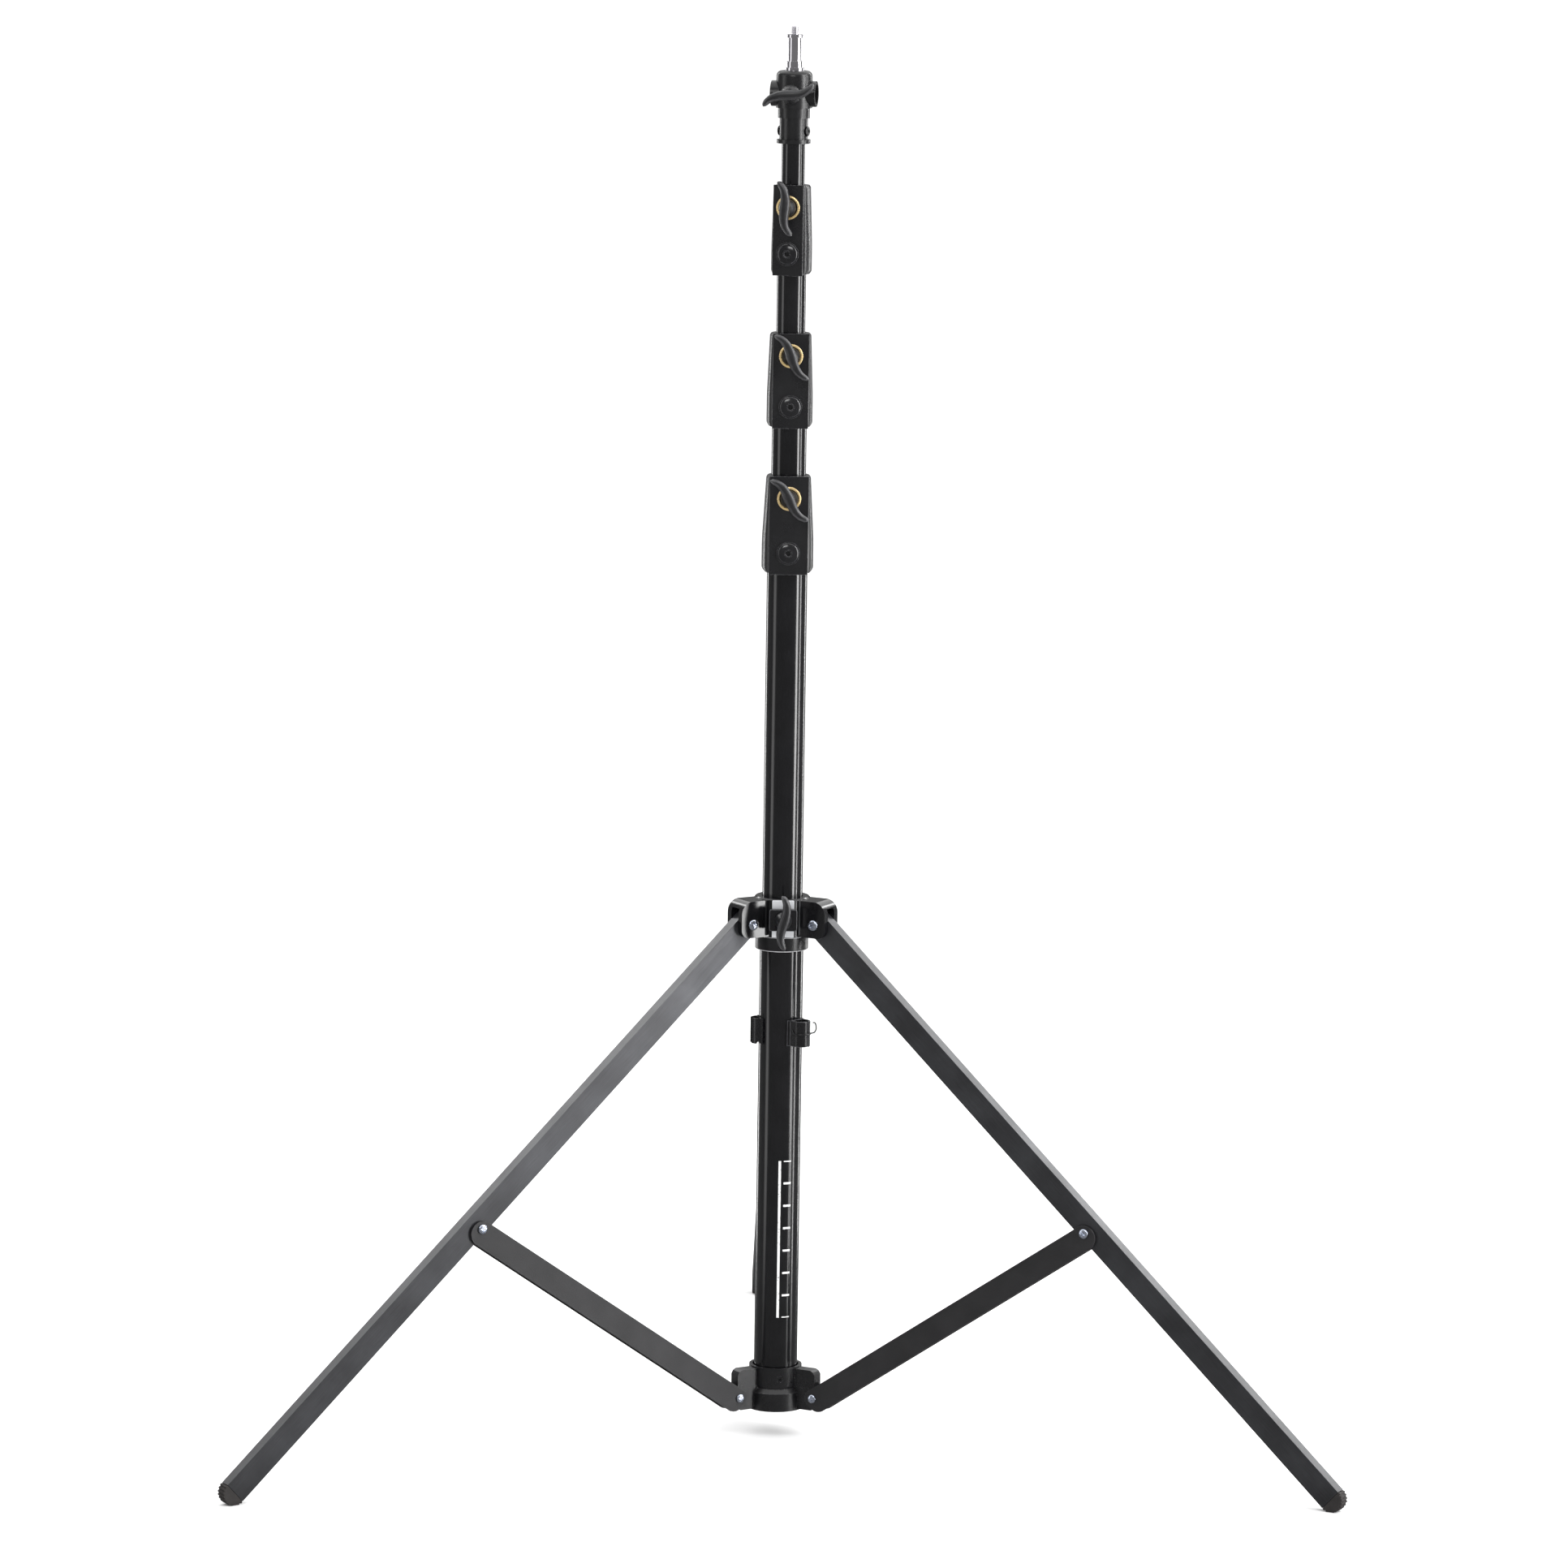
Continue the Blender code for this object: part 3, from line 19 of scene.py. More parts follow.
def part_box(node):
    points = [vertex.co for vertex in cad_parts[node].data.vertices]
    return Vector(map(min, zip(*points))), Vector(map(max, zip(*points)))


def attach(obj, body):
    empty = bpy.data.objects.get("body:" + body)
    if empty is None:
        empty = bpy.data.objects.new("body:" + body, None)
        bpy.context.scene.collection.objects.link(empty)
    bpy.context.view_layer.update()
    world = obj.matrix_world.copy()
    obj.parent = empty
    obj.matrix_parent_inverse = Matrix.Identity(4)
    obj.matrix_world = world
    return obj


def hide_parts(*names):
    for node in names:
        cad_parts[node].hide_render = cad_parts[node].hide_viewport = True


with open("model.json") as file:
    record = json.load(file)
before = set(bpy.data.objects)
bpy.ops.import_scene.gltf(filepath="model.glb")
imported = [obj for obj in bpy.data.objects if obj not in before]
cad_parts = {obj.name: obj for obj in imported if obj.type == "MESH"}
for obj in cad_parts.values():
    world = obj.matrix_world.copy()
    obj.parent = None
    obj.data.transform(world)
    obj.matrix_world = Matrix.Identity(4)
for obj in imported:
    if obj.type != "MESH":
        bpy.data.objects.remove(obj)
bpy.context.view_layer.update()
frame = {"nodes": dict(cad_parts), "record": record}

TURNED = 96               # sides of a tube or another wide round piece
FINE = 72                 # sides of a large round piece
MEDIUM = 40               # sides of a small round piece
MERGE = 1e-6              # a length that counts as nothing
GAP = 0.0003              # gap that touching pieces keep
OVER = 0.004              # how far a cutter runs past what it cuts
WING_HOLE = 0.00415       # radius of a hole for a wing screw's shank
SMOOTH_BELOW = 50.0       # degrees between faces that are shaded as one
ROUND_ABOVE = 32.0        # degrees between faces whose edge is rounded
log = logging.getLogger("stand")

Outline = list[tuple[float, float]]
Number = Union[float, "Signal"]


# --- Shader maths -----------------------------------------------------------------------
class Signal:
    """A number that varies over a surface and takes part in Python sums."""

    def __init__(self, graph: "Graph", socket: bpy.types.NodeSocket) -> None:
        """Wrap a socket of a graph."""
        self.graph = graph
        self.socket = socket

    def _math(self, operation: str, first: Number, second: Number) -> "Signal":
        """Add one Math node and return its result."""
        return self.graph.node("ShaderNodeMath", {"operation": operation}, {0: first, 1: second})

    def __add__(self, other: Number) -> "Signal":
        """Sum."""
        return self._math("ADD", self, other)

    __radd__ = __add__

    def __sub__(self, other: Number) -> "Signal":
        """Difference."""
        return self._math("SUBTRACT", self, other)

    def __rsub__(self, other: Number) -> "Signal":
        """Difference with the number first."""
        return self._math("SUBTRACT", other, self)

    def __mul__(self, other: Number) -> "Signal":
        """Product."""
        return self._math("MULTIPLY", self, other)

    __rmul__ = __mul__

    def __truediv__(self, other: Number) -> "Signal":
        """Quotient."""
        return self._math("DIVIDE", self, other)

    def __abs__(self) -> "Signal":
        """Size without sign."""
        return self._math("ABSOLUTE", self, 0.0)

    def below(self, limit: float) -> "Signal":
        """One where the value is under a limit, and zero elsewhere."""
        return self._math("LESS_THAN", self, limit)

    def ramp(self, low: float, high: float) -> "Signal":
        """Zero at low, one at high, and straight between them."""
        return self.graph.node("ShaderNodeMapRange", {"clamp": True},
                               {"Value": self, "From Min": low, "From Max": high})


class Graph:
    """The node tree of one material, with short ways to add to it."""

    def __init__(self, name: str) -> None:
        """Start a material with nothing but its output."""
        self.material = bpy.data.materials.new(name)
        self.material.use_nodes = True
        self.nodes = self.material.node_tree.nodes
        self.links = self.material.node_tree.links
        self.nodes.clear()

    def node(self, kind: str, settings: Optional[dict] = None, inputs: Optional[dict] = None,
             output: Union[int, str] = 0) -> Signal:
        """Add a node.

        Args:
            kind: The node's type name.
            settings: Its own properties; "stops" fills a colour ramp.
            inputs: Values or signals for its sockets, by name or number.
            output: The socket to return.

        Returns:
            The output as a signal.
        """
        made = self.nodes.new(kind)
        for key, value in (settings or {}).items():
            if key == "stops":
                ramp = made.color_ramp.elements
                for place, (position, colour) in enumerate(value):
                    stop = ramp[place] if place < 2 else ramp.new(position)
                    stop.position, stop.color = position, (*colour, 1.0)
            else:
                setattr(made, key, value)
        for key, value in (inputs or {}).items():
            self.feed(made.inputs[key], value)
        return Signal(self, made.outputs[output])

    def feed(self, socket: bpy.types.NodeSocket, value: Union[Number, Sequence[float]]) -> None:
        """Link a signal to a socket, or set a constant on it.

        Args:
            socket: The input.
            value: A signal, a number or a colour.
        """
        if isinstance(value, Signal):
            self.links.new(value.socket, socket)
        elif isinstance(value, (tuple, list)) and len(socket.default_value) == 4:
            socket.default_value = (*value[:3], 1.0)
        else:
            socket.default_value = value

    def place(self, stretch: Sequence[float] = (1, 1, 1)) -> Signal:
        """The piece's own coordinates, stretched along its axes."""
        own = self.node("ShaderNodeTexCoord", output="Object")
        return self.node("ShaderNodeMapping", {}, {"Vector": own, "Scale": tuple(stretch)})

    def noise(self, size: float, stretch: Sequence[float] = (1, 1, 1), detail: float = 2.0,
              rough: float = 0.5) -> Signal:
        """Cloudy noise whose features are about size metres across.

        Args:
            size: Width of a feature.
            stretch: How much finer it is along each axis.
            detail: Number of finer layers.
            rough: Strength of the finer layers.

        Returns:
            The noise, from zero to one.
        """
        return self.node("ShaderNodeTexNoise", {},
                         {"Vector": self.place(stretch), "Scale": 1 / size, "Detail": detail,
                          "Roughness": rough})

    def edge(self) -> Signal:
        """One on the rounded edges of a piece, where its finish takes its edge tone: partly worn
        finish, partly painted edge light.
        """
        return self.node("ShaderNodeAttribute", {"attribute_name": "edge"}, output="Fac")

    def blend(self, share: Number, first: Union[Signal, Sequence[float]],
              second: Union[Signal, Sequence[float]]) -> Signal:
        """Mix two colours.

        Args:
            share: How much of the second.
            first: Colour at zero.
            second: Colour at one.

        Returns:
            The mixed colour.
        """
        return self.node("ShaderNodeMix", {"data_type": "RGBA"},
                         {0: share, 6: first, 7: second}, output=2)

    def bump(self, height: Signal, depth: float) -> Signal:
        """A normal raised by a height signal, depth metres from zero to one."""
        return self.node("ShaderNodeBump", {}, {"Height": height, "Distance": depth,
                                                "Strength": 1.0})

    def surface(self, sockets: dict) -> bpy.types.Material:
        """Finish the material with one Principled shader.

        Args:
            sockets: Values or signals for its sockets.

        Returns:
            The material.
        """
        shader = self.node("ShaderNodeBsdfPrincipled", {}, sockets)
        end = self.nodes.new("ShaderNodeOutputMaterial")
        self.links.new(shader.socket, end.inputs["Surface"])
        return self.material


# --- Finishes ---------------------------------------------------------------------------
class Grain(Enum):
    """Which way the fine lines of a finish run, as the stretch of its noise on each axis."""

    EVEN = (1.0, 1.0, 1.0)
    ALONG = (1.0, 1.0, 0.02)
    TURNED = (0.04, 0.04, 1.0)
    ACROSS = (0.04, 1.0, 0.04)


@dataclass(frozen=True)
class Finish:
    """A finish with a cloudy colour, fine grain, a second tone on its rounded edges and light
    handling marks; the edge tone is partly worn finish and partly painted edge light, a painted
    highlight where it is lighter and painted shade where it is darker.
    """

    name: str
    slot: str
    colour: tuple
    shade: tuple
    # colour of the rounded edges and of the scuffs; on the edges it is partly worn finish and
    # partly painted edge light (painted highlight where lighter, painted shade where darker)
    worn: tuple
    roughness: float
    metallic: float
    # strength of the edge tone, which is partly worn finish and partly painted edge light
    edge_wear_and_light: float = 0.6
    cloud: float = 0.025
    grain: float = 0.0006
    run: Grain = Grain.EVEN
    depth: float = 0.00002
    spread: float = 0.12
    scuffs: float = 0.10
    specular: float = 0.5

    def colours(self, graph: Graph) -> Signal:
        """Colour over the surface: two mottled tones, an edge tone that is partly worn finish and
        partly painted edge light, and thin scuffs.

        Args:
            graph: The material's nodes.

        Returns:
            The colour.
        """
        cloud = graph.noise(self.cloud, detail=4.0).ramp(0.35, 0.65)
        grain = graph.noise(self.grain, self.run.value, 3.0).ramp(0.3, 0.7)
        base = graph.blend(cloud * 0.6 + grain * 0.4, self.colour, self.shade)
        # edge tone, patchy but never under 0.4 of full, so every rounded edge carries it: partly
        # worn finish, partly a painted edge highlight (painted shade where the edge tone is
        # darker)
        edge_mottle = graph.noise(0.004, detail=5.0, rough=0.7).ramp(0.30, 0.6) * 0.6 + 0.4
        edged = graph.blend(graph.edge() * edge_mottle * self.edge_wear_and_light, base, self.worn)
        streaks = graph.noise(0.002, (1.0, 0.35, 0.12), 6.0, 0.75).ramp(0.66, 0.78)
        return graph.blend(streaks * self.scuffs, edged, self.worn)

    def shine(self, graph: Graph) -> Signal:
        """Roughness over the surface.

        Args:
            graph: The material's nodes.

        Returns:
            The roughness.
        """
        cloud = graph.noise(self.cloud * 0.7, detail=4.0)
        grain = graph.noise(self.grain * 1.7, self.run.value, 3.0)
        return (cloud + grain - 1) * self.spread + self.roughness

    def relief(self, graph: Graph) -> Signal:
        """Normal raised by the grain."""
        return graph.bump(graph.noise(self.grain, self.run.value, 3.0, 0.6), self.depth)

    def material(self) -> bpy.types.Material:
        """The finished material, made once.

        Returns:
            The material.
        """
        made = bpy.data.materials.get(self.name)
        if made is None:
            graph = Graph(self.name)
            made = graph.surface({"Base Color": self.colours(graph),
                                  "Roughness": self.shine(graph), "Metallic": self.metallic,
                                  "Specular IOR Level": self.specular,
                                  "Normal": self.relief(graph)})
        return made


@dataclass(frozen=True)
class Marked(Finish):
    """The sleeve's finish: a plain printed scale of ticks beside one long bar."""

    print_colour: tuple = (0.78, 0.78, 0.78)
    face: float = -88.0
    low: float = 0.105
    high: float = 0.245
    pitch: float = 0.02
    bar_half: float = 0.0011
    tick_half: float = 0.0009
    tick_start: float = 0.0035
    tick_end: float = 0.0105
    radius: float = 0.019

    def colours(self, graph: Graph) -> Signal:
        """The base finish under the printed marks.

        Args:
            graph: The material's nodes.

        Returns:
            The colour.
        """
        base = super().colours(graph)
        own = graph.node("ShaderNodeTexCoord", output="Object")
        split = graph.node("ShaderNodeSeparateXYZ", {}, {0: own})
        across, depth, up = (Signal(graph, split.socket.node.outputs[k]) for k in range(3))
        angle = graph.node("ShaderNodeMath", {"operation": "ARCTAN2"}, {0: depth, 1: across})
        along = (angle - math.radians(self.face)) * self.radius
        middle = (self.low + self.high) / 2
        inside = abs(up - middle).below((self.high - self.low) / 2)
        bar = abs(along).below(self.bar_half)
        step = graph.node("ShaderNodeMath", {"operation": "PINGPONG"},
                          {0: up - self.low, 1: self.pitch / 2})
        reach = abs(along - (self.tick_start + self.tick_end) / 2)
        tick = step.below(self.tick_half) * reach.below((self.tick_end - self.tick_start) / 2)
        worn = graph.noise(0.0012, detail=4.0).ramp(0.30, 0.42)
        marks = (bar + tick).ramp(0.0, 1.0) * inside * worn
        return graph.blend(marks, base, self.print_colour)


SLEEVE = Marked("sleeve_gloss", "sleeve_black", (0.0030, 0.0030, 0.0036),
                (0.007, 0.007, 0.008), (0.12, 0.12, 0.13), 0.15, 0.0, grain=0.0005,
                run=Grain.ALONG, depth=0.000005, spread=0.06, scuffs=0.02, specular=0.5)
TUBE = Finish("tube_anodised", "tube_black", (0.0025, 0.0025, 0.0030), (0.006, 0.006, 0.007),
              (0.14, 0.14, 0.15), 0.14, 0.0, grain=0.0005, run=Grain.ALONG, depth=0.000005,
              spread=0.06, scuffs=0.02, specular=0.5)
# Casting: light grey edge tone at 0.95 strength, so each rounded edge and the front plate's rim
# show a thin light line: partly worn paint, partly a painted edge highlight.
CASTING = Finish("casting_black", "cast_black", (0.004, 0.004, 0.0048), (0.009, 0.009, 0.010),
                 (0.55, 0.55, 0.57), 0.30, 0.0, edge_wear_and_light=0.95, grain=0.0009, depth=0.00005,
                 spread=0.14, scuffs=0.02, specular=0.45)
BOLT_BLACK = Finish("bolt_oxide", "screw_black", (0.005, 0.005, 0.006), (0.010, 0.010, 0.011),
                    (0.34, 0.34, 0.36), 0.16, 0.0, grain=0.0004, depth=0.000006, spread=0.08,
                    scuffs=0.03, specular=0.5)
# Wing: lighter tone on its sharply curved edges: partly worn moulding, partly a painted edge
# highlight.
WING = Finish("wing_satin", "wing_grey", (0.006, 0.006, 0.007), (0.013, 0.013, 0.014),
              (0.09, 0.09, 0.095), 0.34, 0.0, edge_wear_and_light=0.7, grain=0.0008, depth=0.00004,
              scuffs=0.03, specular=0.45)
BRASS = Finish("bush_brass", "brass", (0.93, 0.72, 0.38), (0.80, 0.58, 0.26),
               (0.98, 0.86, 0.58), 0.28, 0.65, edge_wear_and_light=0.5, grain=0.0003, run=Grain.ACROSS,
               depth=0.000008, spread=0.1)
HUB_GLOSS = Finish("hub_gloss", "hub_black", (0.0030, 0.0030, 0.0036), (0.006, 0.006, 0.007),
                   (0.12, 0.12, 0.13), 0.15, 0.0, edge_wear_and_light=0.35, cloud=0.03, grain=0.0012,
                   depth=0.00002, spread=0.08, scuffs=0.02, specular=0.5)
STEEL = Finish("strip_steel", "steel", (0.78, 0.79, 0.81), (0.64, 0.65, 0.68),
               (0.90, 0.90, 0.92), 0.34, 0.45, grain=0.0004, run=Grain.ALONG, depth=0.00001)
ZINC = Finish("screw_zinc", "zinc", (0.66, 0.70, 0.80), (0.48, 0.53, 0.64),
              (0.90, 0.92, 0.95), 0.26, 1.0, grain=0.0003, depth=0.000008, cloud=0.004)
BRACE = Finish("brace_paint", "brace_grey", (0.009, 0.009, 0.010), (0.018, 0.017, 0.019),
               (0.20, 0.20, 0.21), 0.46, 0.0, edge_wear_and_light=0.7, grain=0.0008, depth=0.00005,
               scuffs=0.06, specular=0.45)
# Legs: the edge colour is darker than the body, so each rounded edge carries a dark line, which is
# painted shade; the darker scuffs share that colour.
LEG = Finish("leg_brushed", "leg_grey", (0.022, 0.022, 0.024), (0.048, 0.049, 0.054),
             (0.008, 0.008, 0.009), 0.34, 0.5, edge_wear_and_light=0.85, cloud=0.05, grain=0.0005,
             run=Grain.ALONG, depth=0.00003, spread=0.14, scuffs=0.08, specular=0.5)
RUBBER = Finish("foot_rubber", "rubber", (0.016, 0.014, 0.014), (0.030, 0.027, 0.026),
                (0.10, 0.09, 0.085), 0.70, 0.0, edge_wear_and_light=0.7, cloud=0.008, grain=0.0005,
                depth=0.00006, scuffs=0.12, specular=0.3)
CHROME = Finish("spigot_chrome", "chrome", (0.62, 0.61, 0.64), (0.50, 0.49, 0.52),
                (0.92, 0.92, 0.94), 0.09, 1.0, edge_wear_and_light=0.3, grain=0.0003, run=Grain.TURNED,
                depth=0.000004, spread=0.05, scuffs=0.06)
NYLON = Finish("nylon_moulded", "nylon", (0.030, 0.030, 0.033), (0.048, 0.048, 0.052),
               (0.14, 0.14, 0.15), 0.45, 0.0, grain=0.0006, depth=0.00003)
CLIP_NYLON = Finish("clip_moulded", "clip_nylon", (0.004, 0.004, 0.0048),
                    (0.009, 0.009, 0.010), (0.12, 0.12, 0.13), 0.26, 0.0, grain=0.0006,
                    depth=0.00002, specular=0.45)


# --- Shapes -----------------------------------------------------------------------------
def shift(x: float, y: float, z: float) -> Matrix:
    """A move."""
    return Matrix.Translation((x, y, z))


def turn(angle: float, axis: str) -> Matrix:
    """A turn in degrees about one axis."""
    return Matrix.Rotation(math.radians(angle), 4, axis)


def outward(azimuth: float) -> Matrix:
    """A turn that points local Z outward at an azimuth, with local Y up."""
    return turn(azimuth + 90, "Z") @ turn(90, "X")


def arc(centre: tuple[float, float], radius: float, start: float, end: float,
        count: int) -> Outline:
    """Points on a circle.

    Args:
        centre: Middle of the circle.
        radius: Its radius.
        start: First angle in degrees.
        end: Last angle in degrees.
        count: Number of steps between them.

    Returns:
        The points, both ends included.
    """
    spots = (math.radians(start + (end - start) * step / count) for step in range(count + 1))
    return [(centre[0] + radius * math.cos(a), centre[1] + radius * math.sin(a)) for a in spots]


def box_outline(width: float, height: float, corner: float = 0.0, steps: int = 5) -> Outline:
    """A rectangle about the origin, with rounded corners where corner is above zero.

    Args:
        width: Size along X.
        height: Size along Y.
        corner: Radius of the corners.
        steps: Steps round each corner.

    Returns:
        The outline.
    """
    x, y = width / 2 - corner, height / 2 - corner
    if corner <= 0:
        return [(x, -y), (x, y), (-x, y), (-x, -y)]
    spots: Outline = []
    for quarter, centre in enumerate(((x, -y), (x, y), (-x, y), (-x, -y))):
        spots += arc(centre, corner, 90 * quarter - 90, 90 * quarter, steps)
    return spots


def skin(rings: Sequence[Sequence[Vector]], capped: bool = True) -> bmesh.types.BMesh:
    """Join rings of points, one after another.

    Args:
        rings: Rings with the same number of points each.
        capped: Close the first and last ring; otherwise the last is joined to the first.

    Returns:
        A closed mesh.
    """
    mesh = bmesh.new()
    made = [[mesh.verts.new(spot) for spot in ring] for ring in rings]
    following = made[1:] + ([] if capped else made[:1])
    for first, second in zip(made, following):
        for here in range(len(first)):
            beside = (here + 1) % len(first)
            mesh.faces.new((first[here], first[beside], second[beside], second[here]))
    if capped:
        mesh.faces.new(made[0][::-1])
        mesh.faces.new(made[-1])
    return mesh


def lathe(profile: Outline, sides: int = FINE) -> bmesh.types.BMesh:
    """Spin a closed (radius, height) outline about Z.

    Args:
        profile: The outline.
        sides: Steps round the axis.

    Returns:
        A closed mesh.
    """
    mesh = bmesh.new()
    angles = [2 * math.pi * step / sides for step in range(sides)]
    rings = []
    for radius, height in profile:
        if radius < MERGE:
            rings.append([mesh.verts.new((0, 0, height))] * sides)
        else:
            rings.append([mesh.verts.new((radius * math.cos(a), radius * math.sin(a), height))
                          for a in angles])
    for first, second in zip(rings, rings[1:] + rings[:1]):
        for here in range(sides):
            beside = (here + 1) % sides
            ring = dict.fromkeys((first[here], first[beside], second[beside], second[here]))
            if len(ring) > 2:
                mesh.faces.new(tuple(ring))
    return mesh


def slab(outline: Outline, low: float, high: float) -> bmesh.types.BMesh:
    """Stand a closed (x, y) outline up between two heights."""
    return skin([[Vector((x, y, z)) for x, y in outline] for z in (low, high)])


def side_slab(outline: Outline, half: float) -> bmesh.types.BMesh:
    """A plate whose (x, z) outline is given, centred on the XZ plane.

    Args:
        outline: The outline.
        half: Half of the thickness.

    Returns:
        A closed mesh.
    """
    mesh = slab(outline, -half, half)
    mesh.transform(turn(90, "X"))
    return mesh


def rod(radius: float, low: float, high: float, sides: int = MEDIUM) -> bmesh.types.BMesh:
    """A round bar along Z, turned a little so that its corners meet no other corners.

    Args:
        radius: Its radius.
        low: Height of its foot.
        high: Height of its top.
        sides: Steps round the axis.

    Returns:
        A closed mesh.
    """
    mesh = lathe([(0, low), (radius, low), (radius, high), (0, high)], sides)
    mesh.transform(turn(111 / sides, "Z"))
    return mesh


def cross_rod(radius: float, half: float, x: float = 0.0, z: float = 0.0,
              sides: int = MEDIUM) -> bmesh.types.BMesh:
    """A round bar along Y.

    Args:
        radius: Its radius.
        half: Half of its length.
        x: Where its axis lies along X.
        z: Height of its axis.
        sides: Steps round the axis.

    Returns:
        A closed mesh.
    """
    mesh = rod(radius, -half, half, sides)
    mesh.transform(shift(x, 0, z) @ turn(90, "X"))
    return mesh


def wire(path: Sequence[Vector], radius: float, sides: int = 10) -> bmesh.types.BMesh:
    """A round wire along a path.

    Args:
        path: Points on its middle line.
        radius: Its radius.
        sides: Steps round the wire.

    Returns:
        A closed mesh.
    """
    rings = []
    side = Vector((0, 0, 1))
    for place, spot in enumerate(path):
        ahead = path[min(place + 1, len(path) - 1)] - path[max(place - 1, 0)]
        ahead.normalize()
        side = side - ahead * side.dot(ahead)
        if side.length < MERGE:
            side = ahead.orthogonal()
        side.normalize()
        other = ahead.cross(side)
        rings.append([spot + (side * math.cos(a) + other * math.sin(a)) * radius
                      for a in (2 * math.pi * k / sides for k in range(sides))])
    return skin(rings)


def moved(mesh: bmesh.types.BMesh, matrix: Matrix) -> bmesh.types.BMesh:
    """The same mesh after a transform."""
    mesh.transform(matrix)
    return mesh


def together(*parts: bmesh.types.BMesh) -> bmesh.types.BMesh:
    """Several meshes in one, each left as its own shell.

    Args:
        parts: The meshes, which are used up.

    Returns:
        The joined mesh.
    """
    whole = bmesh.new()
    for part in parts:
        spare = bpy.data.meshes.new("spare")
        part.to_mesh(spare)
        part.free()
        whole.from_mesh(spare)
        bpy.data.meshes.remove(spare)
    return whole


def smooth_path(spots: Sequence[Vector], steps: int = 6) -> list[Vector]:
    """A smooth path through a few points.

    Args:
        spots: The points.
        steps: Steps from each point to the next.

    Returns:
        The finer path.
    """
    path = []
    for here in range(len(spots) - 1):
        a, b = spots[max(here - 1, 0)], spots[here]
        c, d = spots[here + 1], spots[min(here + 2, len(spots) - 1)]
        for step in range(steps):
            t = step / steps
            path.append(((b * 2) + (c - a) * t + (a * 2 - b * 5 + c * 4 - d) * t ** 2
                         + (b * 3 - a - c * 3 + d) * t ** 3) / 2)
    return path + [spots[-1]]


# --- Making pieces ----------------------------------------------------------------------
class Join(Enum):
    """How a second shape meets the first."""

    ADD = "UNION"
    CUT = "DIFFERENCE"


